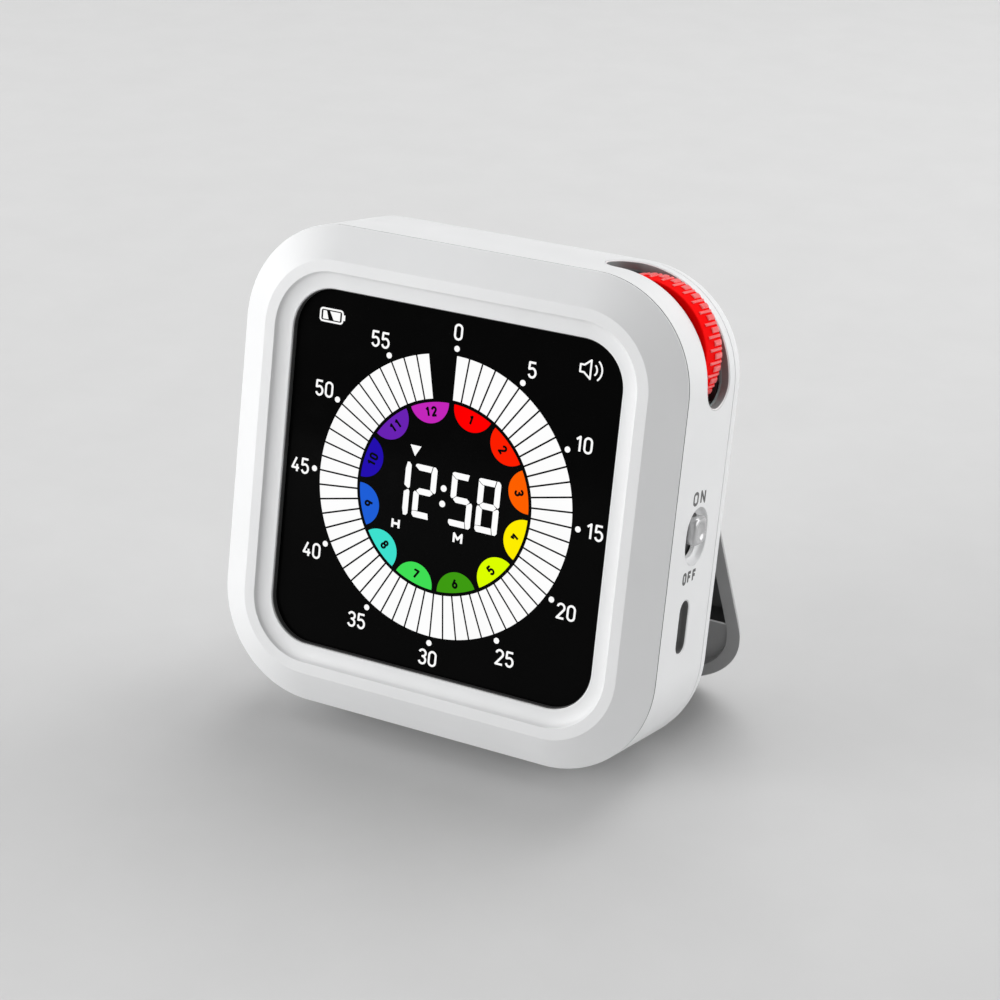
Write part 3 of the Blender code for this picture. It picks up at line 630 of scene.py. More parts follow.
class Builder:
    """Collects points, normals and faces, sharing points that lie together."""

    def __init__(self):
        self.points, self.normals, self.faces, self.slots = [], [], [], []
        self.known = {}

    def point(self, place, normal=None):
        key = tuple(round(value, 4) for value in place)
        if key not in self.known:
            self.known[key] = len(self.points)
            self.points.append(place)
            self.normals.append(normal)
        elif normal is not None:
            self.normals[self.known[key]] = normal
        return self.known[key]

    def face(self, corners, slot=0):
        unique = [c for i, c in enumerate(corners) if c != corners[i - 1]]
        if len(unique) > 2:
            self.faces.append(tuple(unique))
            self.slots.append(slot)

    def mean_normals(self):
        """Fills in the normals that weren't given with the mean of the faces round each point."""
        total = np.zeros((len(self.points), 3))
        points = np.array(self.points)
        for face in self.faces:
            corner = points[list(face)]
            normal = np.zeros(3)
            for i in range(1, len(face) - 1):
                normal += np.cross(corner[i] - corner[0], corner[i + 1] - corner[0])
            total[list(face)] += normal
        return [
            tuple(total[i] / max(np.linalg.norm(total[i]), 1e-12)) if given is None else given
            for i, given in enumerate(self.normals)
        ]


def wall_corner(build, distance, y, depth, out, back=0.0):
    """A point of the wall, with a normal that leans out of the case and back."""
    _, normal = along_wall(distance)
    return build.point(wall_point(distance, y, depth), (out * normal.x, back, out * normal.y))


def build_walls(build, stations, holes):
    """The outer and the inner side of the wall, with the holes in a patch of their own."""
    start = stations[6]
    end = min(stations, key=lambda value: abs(value - right_side(-CORNER)))
    patch = [value for value in stations if start - NEARLY <= value <= end + NEARLY]
    others = [value for value in stations if value >= end - NEARLY]
    others += [value + ROUND for value in stations if value <= start + NEARLY]
    low, high = HOUSING_FRONT + HOUSING_EDGE, HOUSING_BACK - HOUSING_EDGE
    levels = [low + (high - low) * step / 6 for step in range(7)]
    border = [(value, low) for value in patch] + [(end, y) for y in levels[1:]]
    border += [(value, high) for value in patch[-2::-1]] + [(start, y) for y in levels[-2:0:-1]]
    extra = [(a, b) for a in patch[1:-1] for b in levels[1:-1]]

    for depth, rim, out in ((0.0, 0, 1.0), (WALL, -1, -1.0)):
        rims = [[(a, b) for a, b, _ in loops[rim]] for _, loops in holes]
        made, triangles = fill_patch(border, rims, extra)
        faces = [[made[i] for i in triangle] for triangle in triangles]
        for here, onward in zip(others, others[1:]):
            for y, next_y in zip(levels, levels[1:]):
                faces.append([(here, y), (onward, y), (onward, next_y), (here, next_y)])
        for face in faces:
            corners = [wall_corner(build, *corner, depth, out) for corner in face]
            build.face(corners if out > 0 else corners[::-1])


def build_ends(build, stations):
    """The wall's two end faces with their rounded edges; the front one, in the seam with the bezel, gets painted
    shade.
    """
    loop = stations + [stations[0] + ROUND]
    for end, way in ((HOUSING_FRONT, -1.0), (HOUSING_BACK, 1.0)):
        first = end - way * HOUSING_EDGE
        rows = []
        for turn in [radians(angle) for angle in (0, 30, 60, 90)]:
            out, back = cos(turn), way * sin(turn)
            y = first + way * HOUSING_EDGE * sin(turn)
            rows.append((y, HOUSING_EDGE * (1 - out), out, back))
        rows += [(y, WALL - depth, -out, back) for y, depth, out, back in rows[::-1]]
        for row, (near, far) in enumerate(zip(rows, rows[1:])):
            # The front end face, from its rounded edge on, gets the seam's painted shade
            slot = SHADE_IN_SEAM if way < 0 and row >= 1 else 0
            for here, onward in zip(loop, loop[1:]):
                square = ((here, near), (onward, near), (onward, far), (here, far))
                corners = [wall_corner(build, distance, *place) for distance, place in square]
                build.face(corners if way > 0 else corners[::-1], slot)


def build_hole(build, loops, slot):
    """A hole's wall: its lip keeps the housing's own material, and deeper in it takes the hole's slot, which
    paints shade in the wheel's slot and the port.
    """
    for band, (near, far) in enumerate(zip(loops, loops[1:])):
        for i in range(len(near)):
            j = (i + 1) % len(near)
            square = (near[i], far[i], far[j], near[j])
            corners = [build.point(wall_point(*corner)) for corner in square]
            build.face(corners, slot if band >= LIP_BANDS else 0)


def make_housing():
    build = Builder()
    stations, holes = wall_stations(), hole_loops()
    build_walls(build, stations, holes)
    build_ends(build, stations)
    for slot, loops in holes:
        build_hole(build, loops, slot)
    normals = build.mean_normals()
    housing = make_mesh(
        "housing", build.points, build.faces, normals=normals, face_slots=build.slots
    )
    materials = [WHITE, SLOT_SHADE, PORT_SHADE, SEAM_SHADE]
    settle(housing, "case", materials, ["side_housing"])


# ---------- rear cover and stand


def back_edge(radius, inset, end, steps):
    """(inset, y) points round the edge between a side wall and a back at y = end."""
    turns = [pi / 2 * step / steps for step in range(steps + 1)]
    return [
        (inset + radius * (1 - cos(turn)), end - radius * (1 - sin(turn)))
        for turn in turns
    ]


def case_rings(places):
    """The case's outline at each (inset, y)."""
    return [[(x, y, z) for (x, z), _ in outline(inset)] for inset, y in places]


def rear_body(name, start, place=CASE, edge=0.0):
    """A solid on the case's outline, round at the back and, with an edge, stepped in front."""
    places = []
    if edge:
        places = [(GROOVE, HOUSING_BACK + 0.02), (GROOVE, start)]
        for turn in [radians(angle) for angle in (0, 30, 60)]:
            places.append((edge * (1 - sin(turn)), start + edge * (1 - cos(turn))))
    places.append((0.0, start + edge))
    places += back_edge(BACK_EDGE_RADIUS, 0.0, BACK, 12)
    return loft(name, case_rings(places), place)


def stand_section(face, barrel_radius):
    """(y, z) outline of the stand seen from the side, reaching past the back and the bottom."""
    below, behind = -HALF - 10.0, BACK + 2.0
    barrel = arc((HINGE_Y, HINGE_Z), barrel_radius, 180, 55, 24)
    return [(face, below)] + barrel + [(behind, HINGE_Z), (behind, below)]


def pin_hole(side, place=CASE):
    """The cut for a hinge pin, through a lug and into the stand beside it."""
    pin, reach = circle(PIN_HOLE_RADIUS, (HINGE_Y, HINGE_Z), 20), 6.8
    middle = side * LUG_X
    return (CUT, prism("hole", pin, middle - reach, middle + reach, place, axis="X"))


def make_rear_cover():
    cover = rear_body("back_cover", COVER_FRONT, edge=0.1)
    skirt = [(2.0, 17.0), (2.0, 19.3), (3.0, 19.3), (3.0, 17.0)]
    skirt = loft("skirt", case_rings(skirt), closed=True)
    inner = [(BACK_WALL, COVER_FRONT - 2.0)]
    inner += back_edge(4.9, BACK_WALL, BACK - BACK_WALL, 8)
    hollow = loft("hollow", case_rings(inner))
    above_hinge = box("upper", (-BEYOND, 10.0, 4.8), (BEYOND, 30.0, BEYOND))
    carve(hollow, [("INTERSECT", above_hinge)])
    section = stand_section(LOWER_BACK, HINGE_Y - LOWER_BACK)
    stand_space = prism("space", section, -BEYOND, BEYOND, axis="X")
    steps = [(CUT, hollow), (JOIN, skirt), (CUT, stand_space)]

    for place in CASE_SCREWS:
        boss_back = BACK - 1.0 if place[1] > 0 else LOWER_BACK - 0.8
        boss = [(BOSS_RADIUS, BOSS_FRONT), (BOSS_RADIUS, boss_back)]
        bore = [(BORE_RADIUS, BOSS_FRONT - 1), (BORE_RADIUS, SCREW_SEAT)]
        bore += [(HEAD_RADIUS + 0.3, SCREW_SEAT), (HEAD_RADIUS + 0.3, BACK + 1)]
        steps += [(JOIN, turned("boss", boss, place)), (CUT, turned("bore", bore, place))]

    lug_radius = BACK - HINGE_Y - 0.04
    lug_top = HINGE_Z + HINGE_Y - LOWER_BACK + 0.9
    section = [(HINGE_Y - lug_radius, lug_top)]
    section += arc((HINGE_Y, HINGE_Z), lug_radius, 180, 360, 20)
    section.append((HINGE_Y + lug_radius, lug_top))
    for side in (-1, 1):
        lug = prism("lug", section, side * LUG_X - LUG_HALF, side * LUG_X + LUG_HALF, axis="X")
        steps += [(JOIN, lug), pin_hole(side)]
    speaker = (-20.0, 22.0)
    for place in [speaker] + circle(3.6, speaker, 6):
        sound = turned("sound", [(0.7, BACK - 4), (0.7, BACK + 1)], place, steps=20)
        steps.append((CUT, sound))
    carve(cover, steps)
    soften(cover, 0.12)
    settle(cover, "case", [WHITE], ["rear_cover"])


def make_stand():
    stand = rear_body("stand_flap", STAND_FACE - 4.0, STAND)
    section = stand_section(STAND_FACE, HINGE_Y - STAND_FACE)
    steps = [("INTERSECT", prism("limit", section, -BEYOND, BEYOND, STAND, axis="X"))]

    # Two hollows with a thin rib between them, and a seat for the pad
    half, rib_low, rib_high, hollow_top = 38.4, -22.65, -22.2, -5.45
    front = STAND_FACE - 1.0
    low_left = arc((-CORNER, -CORNER), RADIUS - 2.6, 180, 270, CORNER_STEPS)
    low_right = arc((CORNER, -CORNER), RADIUS - 2.6, 270, 360, CORNER_STEPS)
    hollow = low_left + low_right + [(half, rib_low), (-half, rib_low)]
    lower = prism("lower", hollow, front, STAND_FACE + 1.3, STAND)
    upper = box("upper", (-half, front, rib_high), (half, BACK - BACK_WALL, hollow_top), STAND)
    seat = box("seat", (-16.3, front, -42.0), (16.3, BACK, -39.6), STAND)
    steps += [(CUT, lower), (CUT, upper), (CUT, seat)]
    for side in (-1, 1):
        low = (side * LUG_X - LUG_HALF - 0.3, front, HINGE_Z - 2.1)
        high = (side * LUG_X + LUG_HALF + 0.3, BACK + 1.0, HINGE_Z + 6.0)
        steps += [(CUT, box("notch", low, high, STAND)), pin_hole(side, STAND)]
    carve(stand, steps)
    soften(stand, 0.25)

    to_case = STAND.inverted()
    for face in stand.data.polygons:
        middle = to_case @ face.center
        # Faces deep in the upper hollow get painted shade
        within = abs(middle.x) < half + 0.1 and rib_high - 0.01 < middle.z < hollow_top - 0.15
        # The rib's front face gets a painted highlight
        on_rib = middle.y < STAND_FACE + 0.1 and rib_low < middle.z < rib_high
        in_hollow = within and middle.y < BACK - 1.6
        face.material_index = 2 if on_rib else int(in_hollow)
    settle(stand, "stand", [GREY, GREY_SHADE, GREY_HIGHLIGHT], ["kickstand"])


# ---------- thumb wheel

RIB_HEIGHT = 0.28
RIB_PITCH = 10.0
RIB_BACK = 14.2
# Where a narrow and a wide rib lie in a pitch, in degrees, how far in they start, and their power:
# the higher it is, the squarer the rib
RIBS = ((0.0, 1.2, 9.8, 2.2), (4.9, 2.15, 11.55, 4.5))
RIB_SHARES = (-1.02, -0.97, -0.88, -0.7, -0.4, 0.0, 0.4, 0.7, 0.88, 0.97, 1.02)


def ease(distance, length):
    """Rises from 0 to 1 over a length."""
    return sin(pi / 2 * min(max(distance / length, 0.0), 1.0))


def wheel_height(angle, y):
    """How far the rim stands out at an angle and a depth."""
    height = 0.0
    for middle, half, start, power in RIBS:
        share = abs((angle - middle) / half)
        across = max(0.0, 1.0 - share**power) ** (1 / power)
        along = ease(y - start, 0.35)
        height = max(height, RIB_HEIGHT * across * along * ease(RIB_BACK - y, 0.3))
    return height


def make_wheel():
    base = WHEEL_RADIUS - RIB_HEIGHT
    offsets = [middle + half * share for middle, half, *_ in RIBS for share in RIB_SHARES] + [8.2]
    angles = [RIB_PITCH * number + offset for number in range(36) for offset in offsets]
    within = [(angle + 1.5) % RIB_PITCH - 1.5 for angle in angles]
    turns = [radians(angle) for angle in angles]

    def ring_of(radii, y):
        return [
            (WHEEL_X + radius * cos(turn), y, WHEEL_Z + radius * sin(turn))
            for radius, turn in zip(radii, turns)
        ]

    back = [(2.8, 9.6), (2.8, 14.4), (base - 0.2, 14.4), (base - 0.05, 14.34), (base, 14.22)]
    rim = [RIB_BACK, 14.14, 14.05, 13.95, 13.2, 12.4, 11.95, 11.83, 11.71, 11.62, 11.55]
    rim += [10.9, 10.25, 10.12, 10.0, 9.88, 9.8, 9.3, 8.7]
    front = [(base - 0.03, 8.5), (base - 0.12, 8.38), (base - 0.25, 8.32), (9.5, 8.32)]
    rings = [ring_of([radius] * len(turns), y) for radius, y in back]
    rings += [ring_of([base + wheel_height(angle, y) for angle in within], y) for y in rim]
    rings += [ring_of([radius] * len(turns), y) for radius, y in front]
    wheel = loft("ribbed_wheel", rings)
    to_case = CASE.inverted()
    for face in wheel.data.polygons:
        middle = to_case @ face.center
        reach = hypot(middle.x - WHEEL_X, middle.z - WHEEL_Z)
        # Faces out on the ribs take the pinkish red, a painted highlight
        face.material_index = 1 if reach > base + RIB_HEIGHT * 0.3 else 0
    even_shade(wheel, 55)
    settle(wheel, "wheel", [RED, RED_RIB_HIGHLIGHT], ["thumb_wheel"])


# ---------- switch and port

# How far out and how far in from its outline the switch's cap goes: a round rim, a dished face
KNOB_SECTIONS = (
    (39.3, 0.0), (41.2, 0.0), (41.38, 0.03), (41.53, 0.1), (41.65, 0.21), (41.73, 0.36),
    (41.75, 0.52), (41.72, 0.68), (41.58, 0.88), (41.44, 1.15), (41.36, 1.45), (41.33, 1.8),
)
KNOB_HALF_Y, KNOB_HALF_Z = 2.15, 2.35

# How far out, half depth, half height and corner radius of the port's shell, from its inner face
# round the mouth to its outer face
SHELL_SECTIONS = (
    (32.25, 1.2, 4.1, 1.15), (38.75, 1.2, 4.1, 1.15), (38.9, 1.26, 4.16, 1.2),
    (38.9, 1.49, 4.39, 1.45), (38.8, 1.55, 4.45, 1.5), (31.9, 1.55, 4.45, 1.5),
)
CONTACTS, CONTACT_PITCH = 12, 0.5


def side_ring(x, *shape):
    """A rounded rectangle across the right side, at a distance from the case's middle."""
    return [(x, y, z) for y, z in stadium(*shape)]


def make_switch():
    rings = []
    for x, shrink in KNOB_SECTIONS:
        half_y, half_z = KNOB_HALF_Y - shrink, KNOB_HALF_Z - shrink
        radius = min(half_y - 0.001, 1.25 + 0.6 * shrink)
        rings.append(side_ring(x, half_y, half_z, radius, (SWITCH_Y, SWITCH_Z), 12))
    knob = loft("switch_cap", rings)
    even_shade(knob, 55)
    settle(knob, "switch", [SILVER], ["switch_knob"])


def make_port():
    rings = [side_ring(*section, (PORT_Y, PORT_Z), 10) for section in SHELL_SECTIONS]
    shell = loft("socket_shell", rings)
    even_shade(shell, 55)
    settle(shell, "case", [STEEL], ["port_shell"])
    for number in range(CONTACTS):
        z = PORT_Z - 2.75 + CONTACT_PITCH * number
        low, high = (35.2, PORT_Y - 0.37, z - 0.14), (37.9, PORT_Y + 0.37, z + 0.14)
        pad = box(f"socket_contact_{number + 1}", low, high)
        settle(pad, "case", [GOLD])


# ---------- lettering

# Letters are centre lines in a cell one unit high: straight runs and arcs of equal stroke
LETTER_WIDTH = 0.52
LETTER_WIDTHS = {"1": 0.42, "M": 0.72}


def letter_strokes():
    w, m = LETTER_WIDTH, LETTER_WIDTH / 2
    zero = oval((m, 1 - m), m, m, 0, 180, 14) + oval((m, m), m, m, 180, 360, 14)
    zero.append(zero[0])
    low_bow = oval((m, 0.31), m, 0.31, 118, -160, 14)
    three = oval((m, 0.765), m * 0.95, 0.235, 165, -90, 14)
    three += oval((m, 0.265), m, 0.265, 90, -165, 14)
    six = [oval((m, 0.29), m, 0.29), [(0.4, 1.0), (0.03, 0.4)]]
    stem = [(0.0, 0.0), (0.0, 1.0)]
    return {
        "0": [zero],
        "1": [[(0.08, 0.8), (0.34, 1.0), (0.34, 0.0)]],
        "2": [oval((m, 1 - m), m, m, 170, -35, 14) + [(0.0, 0.0), (w, 0.0)]],
        "3": [three],
        "4": [[(0.32, 1.0), (0.0, 0.26), (w + 0.04, 0.26)], [(0.4, 0.52), (0.4, 0.0)]],
        "5": [[(w * 0.95, 1.0), (0.04, 1.0), (0.02, 0.56)] + low_bow],
        "6": six,
        "7": [[(0.0, 0.86), (0.0, 1.0), (w, 1.0), (0.16, 0.0)]],
        "8": [oval((m, 0.76), m * 0.9, 0.24), oval((m, 0.27), m, 0.27)],
        "9": [[(w - x, 1 - y) for x, y in run] for run in six],
        "O": [zero],
        "H": [stem, [(w, 0.0), (w, 1.0)], [(0.0, 0.5), (w, 0.5)]],
        "M": [stem + [(0.36, 0.4), (0.72, 1.0), (0.72, 0.0)]],
        "N": [stem + [(w, 0.0), (w, 1.0)]],
        "F": [[(w, 1.0), (0.0, 1.0), (0.0, 0.0)], [(0.0, 0.54), (w * 0.85, 0.54)]],
    }


STROKES = letter_strokes()


def ribbon(run, width):
    """Quadrilaterals along a run of points and a disc at each joint."""
    shapes = []
    for (x0, y0), (x1, y1) in zip(run, run[1:]):
        length = hypot(x1 - x0, y1 - y0)
        if length < 1e-6:
            continue
        a, b = -(y1 - y0) / length * width / 2, (x1 - x0) / length * width / 2
        shapes.append([(x0 + a, y0 + b), (x0 - a, y0 - b), (x1 - a, y1 - b), (x1 + a, y1 + b)])
    closed = dist(run[0], run[-1]) < 1e-6
    joints = run[1:-1] + run[:1] if closed else run[1:-1]
    return shapes + [circle(width / 2, joint, 10) for joint in joints]


def text_shapes(text, height, weight, middle, spin=0.0, gap=0.2, widen=1.0):
    """Polygons of a line of text, centred on middle and turned clockwise by spin degrees.

    Height is the cap height from edge to edge and weight the stroke's width, both in mm.
    """
    rise = height - weight
    cells = [LETTER_WIDTHS.get(letter, LETTER_WIDTH) for letter in text]
    pitch = weight / rise + gap
    left = -(sum(cells) + pitch * (len(text) - 1)) / 2
    across, up = cos(radians(-spin)), sin(radians(-spin))
    shapes = []
    for letter, cell in zip(text, cells):
        for run in STROKES[letter]:
            flat = [((left + x) * rise * widen, (y - 0.5) * rise) for x, y in run]
            placed = [
                (middle[0] + a * across - b * up, middle[1] + a * up + b * across)
                for a, b in flat
            ]
            shapes += ribbon(placed, weight)
        left += cell + pitch
    return shapes


def area(shape):
    pairs = zip(shape[-1:] + shape, shape)
    return sum(x0 * y1 - x1 * y0 for (x0, y0), (x1, y1) in pairs)


def flat_union(shapes, holes=()):
    """The union of polygons less the holes: (points, triangles), none of them overlapping."""
    points, faces = [], []
    for shape in [*shapes, *holes]:
        if area(shape) < 0:
            shape = shape[::-1]
        faces.append(list(range(len(points), len(points) + len(shape))))
        points += [Vector(point) for point in shape]
    made, _, triangles, _, _, sources = delaunay_2d_cdt(points, [], faces, 1, 1e-5)
    kept = []
    for triangle, source in zip(triangles, sources):
        if source and all(index < len(shapes) for index in source):
            kept.append(tuple(triangle))
    return [(v.x, v.y) for v in made], kept


def slab(points, triangles, low, high):
    """Closes flat triangles into a slab: (points, faces) with x, height and z."""
    used = sorted({i for triangle in triangles for i in triangle})
    index = {old: new for new, old in enumerate(used)}
    count = len(used)
    solid = [(points[i][0], height, points[i][1]) for height in (low, high) for i in used]
    faces, edges = [], {}
    for triangle in triangles:
        corners = tuple(index[i] for i in triangle)
        faces += [corners, tuple(corner + count for corner in reversed(corners))]
        for i in range(len(corners)):
            edges[(corners[i - 1], corners[i])] = True
    for a, b in edges:
        if (b, a) not in edges:
            faces.append((b, a, a + count, b + count))
    return solid, faces


def art_piece(name, shapes, holes, material):
    """A thin lit shape in front of the display's window."""
    front, back = -0.03, -0.004
    solid, faces = slab(*flat_union(shapes, holes), front, back)
    piece = make_mesh(name, [(x, y, z + DIAL_Z) for x, y, z in solid], faces)
    shade_smooth(piece.data, False)
    settle(piece, "case", [material])


# ---------- dial

BAR_OUTER, BAR_INNER, BAR_GAP = 23.75, 16.42, 0.15
BARS = 58
MARK_RADIUS = 24.92

# The hour segments, clockwise from the top, as 8 bit sRGB
SEGMENT_COLOURS = (
    (255, 0, 0), (255, 30, 0), (255, 96, 0), (255, 238, 0), (221, 255, 0), (62, 156, 18),
    (64, 224, 85), (62, 227, 208), (31, 95, 216), (36, 16, 176), (106, 34, 180), (196, 39, 188),
)
TURNED_ROUND = (5, 6, 7, 8)  # numbers that would stand on their heads

# Where the middles of the minute numbers 0, 5, 10 ... lie
NUMBER_PLACES = (
    (0.0, 27.65), (13.92, 23.95), (24.3, 13.75), (27.85, 0.1), (24.4, -13.95), (14.25, -24.2),
    (-0.05, -27.5), (-14.25, -24.25), (-24.15, -14.1), (-27.75, 0.0), (-24.3, 13.8), (-14.33, 23.9),
)

CELL_WIDE, CELL_TALL, BAR = 4.14, 9.0, 1.04
DIGITS = {
    "1": ("upper_right", "lower_right"),
    "2": ("top", "upper_right", "middle", "lower_left", "bottom"),
    "5": ("top", "upper_left", "middle", "lower_right", "bottom"),
    "8": ("top", "upper_left", "upper_right", "middle", "lower_left", "lower_right", "bottom"),
}


def clock(radius, angle):
    """A point on the dial at a radius, clockwise from the top."""
    return (radius * sin(radians(angle)), radius * cos(radians(angle)))


def bar_shape(angle):
    """One minute's bar, 6 degrees less an even gap at both sides."""
    shape = []
    for radius, order in ((BAR_OUTER, (0, 1, 2, 3)), (BAR_INNER, (3, 2, 1, 0))):
        margin = degrees(BAR_GAP / radius)
        for step in order:
            shape.append(clock(radius, angle + margin + (6 - 2 * margin) * step / 3))
    return shape


def segment_shape(middle):
    """A bow inside the dial's ring: a disc cut off by the ring's inner circle."""
    ring, bow, centre = 15.85, 3.72, 16.1
    rise, across = clock(1.0, middle), clock(1.0, middle + 90)
    level = (ring**2 - bow**2 + centre**2) / (2 * centre)
    lean = degrees(asin(sqrt(ring**2 - level**2) / ring))
    start = asin((centre - level) / bow)
    shape = [clock(ring, middle - lean * (1 - step / 6)) for step in range(1, 12)]
    for step in range(25):
        angle = start + (pi - 2 * start) * step / 24
        a, b = bow * cos(angle) * 0.985, centre - bow * sin(angle)
        shape.append((rise[0] * b + across[0] * a, rise[1] * b + across[1] * a))
    return shape


def linear(channel):
    value = channel / 255
    return value / 12.92 if value <= 0.04045 else ((value + 0.055) / 1.055) ** 2.4


def seven_parts():
    """The seven bars of a digit, in mm from its lower left corner, with hairline gaps."""
    w, h, t, m = CELL_WIDE, CELL_TALL, BAR, CELL_TALL / 2
    return {
        "top": [
            (0.0, h - 0.42), (0.06, h - 0.16), (0.34, h), (w - t + 0.09, h),
            (w - t - 0.13, h - t), (0.78, h - t),
        ],
        "upper_left": [
            (0.0, h - 0.56), (0.0, m + 0.42), (0.2, m + 0.1), (0.5, m + 0.16),
            (t, m + 0.62), (t, h - t - 0.1), (0.72, h - t - 0.1),
        ],
        "upper_right": [
            (w - t + 0.26, h), (w - 0.36, h), (w, h - 0.45), (w, m + 0.36), (w - 0.22, m + 0.08),
            (w - 0.44, m + 0.16), (w - t, m + 0.58), (w - t, h - t), (w - t + 0.03, h - t),
        ],
        "middle": [
            (0.58, m + 0.1), (t + 0.02, m + t / 2), (w - t - 0.02, m + t / 2), (w - 0.56, m + 0.06),
            (w - 0.56, m - 0.04), (w - t - 0.02, m - t / 2), (t + 0.02, m - t / 2), (0.56, m - 0.06),
        ],
        "lower_left": [
            (0.0, t + 0.04), (0.0, m - 0.4), (0.2, m - 0.1), (0.48, m - 0.16),
            (t, m - 0.6), (t, t + 0.13),
        ],
        "lower_right": [
            (w - t + 0.22, 0.0), (w - 0.3, 0.0), (w, 0.35), (w, m - 0.4),
            (w - 0.2, m - 0.1), (w - 0.44, m - 0.14), (w - t, m - 0.55), (w - t, t),
        ],
        "bottom": [
            (0.0, t - 0.08), (0.0, 0.42), (0.36, 0.0), (w - t + 0.05, 0.0),
            (w - t - 0.13, t), (0.3, t),
        ],
    }


def status_icons():
    """A battery with its charge, and a loudspeaker with two waves."""
    line = 0.3
    battery, speaker = (-24.05, 26.2), (24.05, 25.9)
    shell = stadium(2.15, 1.05, 0.45, battery, 4)
    icon = ribbon(shell + [shell[0]], line)
    for part in (
        [(2.3, 0.45), (2.3, -0.45), (2.62, -0.45), (2.62, 0.45)],
        [(-1.65, 0.7), (-1.65, -0.7), (-0.55, -0.7), (-1.0, 0.7)],
        [(-0.35, 0.7), (0.45, -0.7), (1.65, -0.7), (1.65, 0.7)],
    ):
        icon.append(moved(part, battery))
    horn = [(-1.75, -0.6), (-1.75, 0.6), (-1.05, 0.6), (0.1, 1.5), (0.1, -1.5), (-1.05, -0.6)]
    icon += ribbon(moved(horn + horn[:1], speaker), line)
    for radius, half_angle in ((1.1, 48), (2.0, 50)):
        wave = arc((speaker[0] + 0.1, speaker[1]), radius, -half_angle, half_angle, 10)
        icon += ribbon(wave, 0.28)
    return icon


def make_dial():
    white = lit("lit_white", (1.0, 1.0, 1.0))
    art_piece("minute_bars", [bar_shape(6.0 * number) for number in range(BARS)], [], white)

    marks = [circle(0.5, clock(MARK_RADIUS, 30.0 * number), 24) for number in range(12)]
    for number, place in enumerate(NUMBER_PLACES):
        marks += text_shapes(str(5 * number), 2.75, 0.36, place, gap=0.12)
    art_piece("minute_numbers", marks, [], white)

    parts = seven_parts()
    digits = []
    for digit, left in (("1", -10.5), ("2", -5.57), ("5", 1.39), ("8", 6.35)):
        digits += [moved(parts[part], (left, -4.26)) for part in DIGITS[digit]]
    digits += [circle(0.55, (0.0, 1.6), 20), circle(0.55, (0.0, -1.0), 20)]
    digits.append([(-6.93, 7.7), (-4.86, 7.7), (-5.9, 5.9)])
    digits += text_shapes("H", 1.85, 0.4, (-8.4, -6.1), widen=1.6)
    digits += text_shapes("M", 1.85, 0.38, (3.45, -6.15), widen=1.35)
    art_piece("clock_digits", digits, [], white)

    for number, colour in enumerate(SEGMENT_COLOURS, 1):
        middle = 30.0 * number - 15.0
        spin = middle - 180.0 if number in TURNED_ROUND else middle
        digits = text_shapes(str(number), 1.75, 0.4, clock(14.3, middle), spin)
        material = lit(f"lit_colour_{number}", tuple(linear(channel) for channel in colour))
        art_piece(f"hour_segment_{number}", [segment_shape(middle)], digits, material)

    art_piece("status_icons", status_icons(), [], white)


def make_lens():
    edge, bevel = 9.7, 0.15
    front = [(edge + bevel, 0.0), (edge + 0.044, 0.044), (edge, bevel)]
    lens = loft("display_window", case_rings(front + [(edge, 1.0 - bevel), (edge + bevel, 1.0)]))
    even_shade(lens, 60)
    settle(lens, "case", [GLASS], ["display_lens"])


def make_labels():
    lift, thickness = 0.002, 0.012
    for name, text, height, middle, widen in (
        ("label_on", "ON", 2.35, (9.75, 6.5), 1.5),
        ("label_off", "OFF", 2.1, (9.35, -6.6), 1.1),
    ):
        shapes = text_shapes(text, height, 0.5, middle, widen=widen)
        solid, faces = slab(*flat_union(shapes), 0.0, thickness)
        solid = [(HALF + lift + out, y, z) for y, out, z in solid]
        label = make_mesh(name, solid, faces, turn=True)
        shade_smooth(label.data, False)
        settle(label, "case", [INK])


# ---------- screws and hidden parts


def make_screws():
    sections = [(0.3, 7.6), (0.95, 8.4), (0.95, 19.2), (HEAD_RADIUS, 19.2), (HEAD_RADIUS, 19.9)]
    sections += [(1.75, 20.2), (1.4, 20.4), (0.9, 20.5)]
    for number, (x, z) in enumerate(CASE_SCREWS, 1):
        screw = turned(f"cross_screw_{number}", sections, (x, z))
        steps = []
        for half_x, half_z in ((1.15, 0.22), (0.22, 1.15)):
            arm = box("arm", (x - half_x, 19.75, z - half_z), (x + half_x, 21.5, z + half_z))
            steps.append((CUT, arm))
        carve(screw, steps)
        soften(screw, 0.05, 1)
        settle(screw, "case", [STEEL], [f"case_screw_{number}"])


def dress_cad_nodes():
    """Better materials for the CAD nodes that stay."""
    record = frame["record"]
    slots = {entry["node"]: entry["material_slot"] for entry in record["subparts"]}
    colours = {entry["slot"]: entry["base_color"] for entry in record["materials"]}
    looks = {
        "dark_grey_plastic": DARK, "rubber": RUBBER, "steel": STEEL, "white_plastic": WHITE,
        "grey_plastic": GREY, "red_plastic": RED, "silver_plastic": SILVER, "black_glass": GLASS,
    }
    for node, piece in frame["nodes"].items():
        name = slots[node]
        if name not in looks:
            colour = tuple(colours[name][:3])
            looks[name] = moulded(name, tuple(channel * 0.9 for channel in colour), colour, 0.45)
        piece.data.materials.clear()
        piece.data.materials.append(looks[name])


# ---------- studio

# Name, azimuth and elevation in degrees, width and height in metres, and irradiance. Azimuth 0 is
# in front and 90 on the object's right.
LIGHTS = (
    ("key", 298, 14, 1.0, 0.5, 1.6),
    ("front", 320, 14, 0.6, 0.3, 0.97),
    ("left_back", 244, 20, 0.8, 0.5, 0.3),
    ("right", 115, 13, 0.9, 0.5, 1.3),
    ("top_back", 152, 38, 0.6, 0.5, 0.45),
    ("overhead", 182, 58, 0.9, 0.6, 1.8),
)
LIGHT_DISTANCE = 1.0
LIGHT_TARGET = (0.0, 0.0, 0.042)
WORLD_LIGHT = 0.3
FLOOR_HALF = 3.0

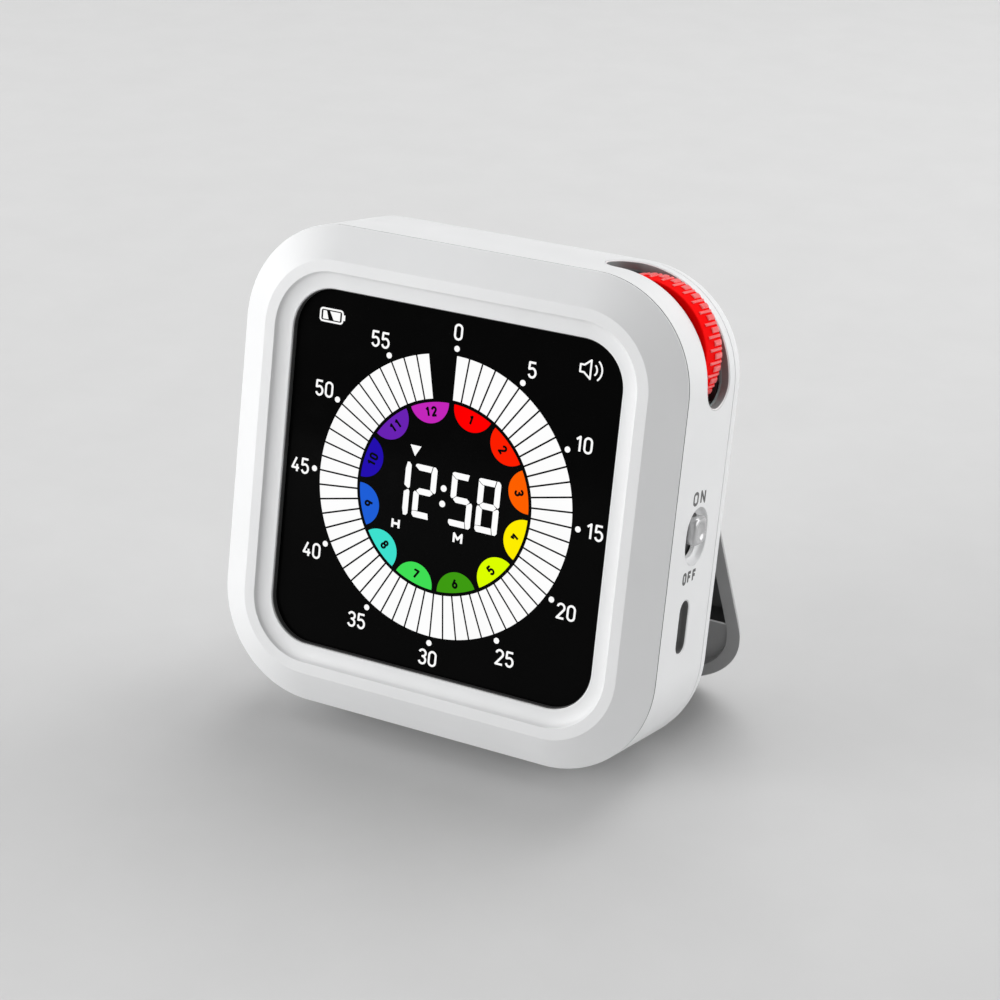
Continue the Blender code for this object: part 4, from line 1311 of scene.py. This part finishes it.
# The camera in the case's own frame
CAMERA_PLACE = (197.6, -363.3, 104.36)
CAMERA_RIGHT = (0.87321, 0.47741, 0.09786)
CAMERA_FORWARD = (-0.44401, 0.86214, -0.24408)


def soft_box(name, azimuth, elevation, width, height, irradiance):
    """A soft light that faces the object."""
    turn, lift = radians(azimuth), radians(elevation)
    level = cos(lift)
    towards = Vector((sin(turn) * level, -cos(turn) * level, sin(lift)))
    data = bpy.data.lights.new(name, "AREA")
    data.shape = "RECTANGLE"
    data.size, data.size_y = width, height
    data.energy = irradiance * pi * LIGHT_DISTANCE**2
    light = bpy.data.objects.new(name, data)
    light.location = Vector(LIGHT_TARGET) + towards * LIGHT_DISTANCE
    light.rotation_euler = (-towards).to_track_quat("-Z", "Y").to_euler()
    bpy.context.scene.collection.objects.link(light)


def make_studio():
    scene = bpy.context.scene
    scene.view_settings.view_transform = "Standard"
    scene.view_settings.look = "None"

    scene.world = bpy.data.worlds.new("studio")
    scene.world.use_nodes = True
    background = scene.world.node_tree.nodes["Background"]
    put(background, Color=(1.0, 1.0, 1.0, 1.0), Strength=WORLD_LIGHT)

    mesh = bpy.data.meshes.new("floor")
    half = FLOOR_HALF
    corners = [(-half, -half, 0.0), (half, -half, 0.0), (half, half, 0.0), (-half, half, 0.0)]
    mesh.from_pydata(corners, [], [(0, 1, 2, 3)])
    floor = bpy.data.objects.new("floor", mesh)
    scene.collection.objects.link(floor)
    paper = moulded("floor_paper", (0.6, 0.6, 0.6), (0.615, 0.615, 0.615), 0.8, grain=1500.0)
    floor.data.materials.append(paper)

    for light in LIGHTS:
        soft_box(*light)

    camera = bpy.data.objects.new("camera", bpy.data.cameras.new("camera"))
    camera.data.sensor_width, camera.data.lens = 36.0, 93.9
    camera.data.clip_start, camera.data.clip_end = 0.01, 20.0
    right = Vector(CAMERA_RIGHT).normalized()
    upright = right.cross(Vector(CAMERA_FORWARD)).normalized()
    forward = upright.cross(right).normalized()
    turn = Matrix((right, upright, -forward)).transposed()
    place = Matrix.Translation(CASE @ Vector(CAMERA_PLACE))
    camera.matrix_world = place @ (TURN @ turn).to_4x4()
    scene.collection.objects.link(camera)
    scene.camera = camera


# ---------- everything

dress_cad_nodes()
make_bezel()
make_housing()
make_rear_cover()
make_stand()
make_wheel()
make_switch()
make_port()
make_lens()
make_dial()
make_labels()
make_screws()
make_studio()
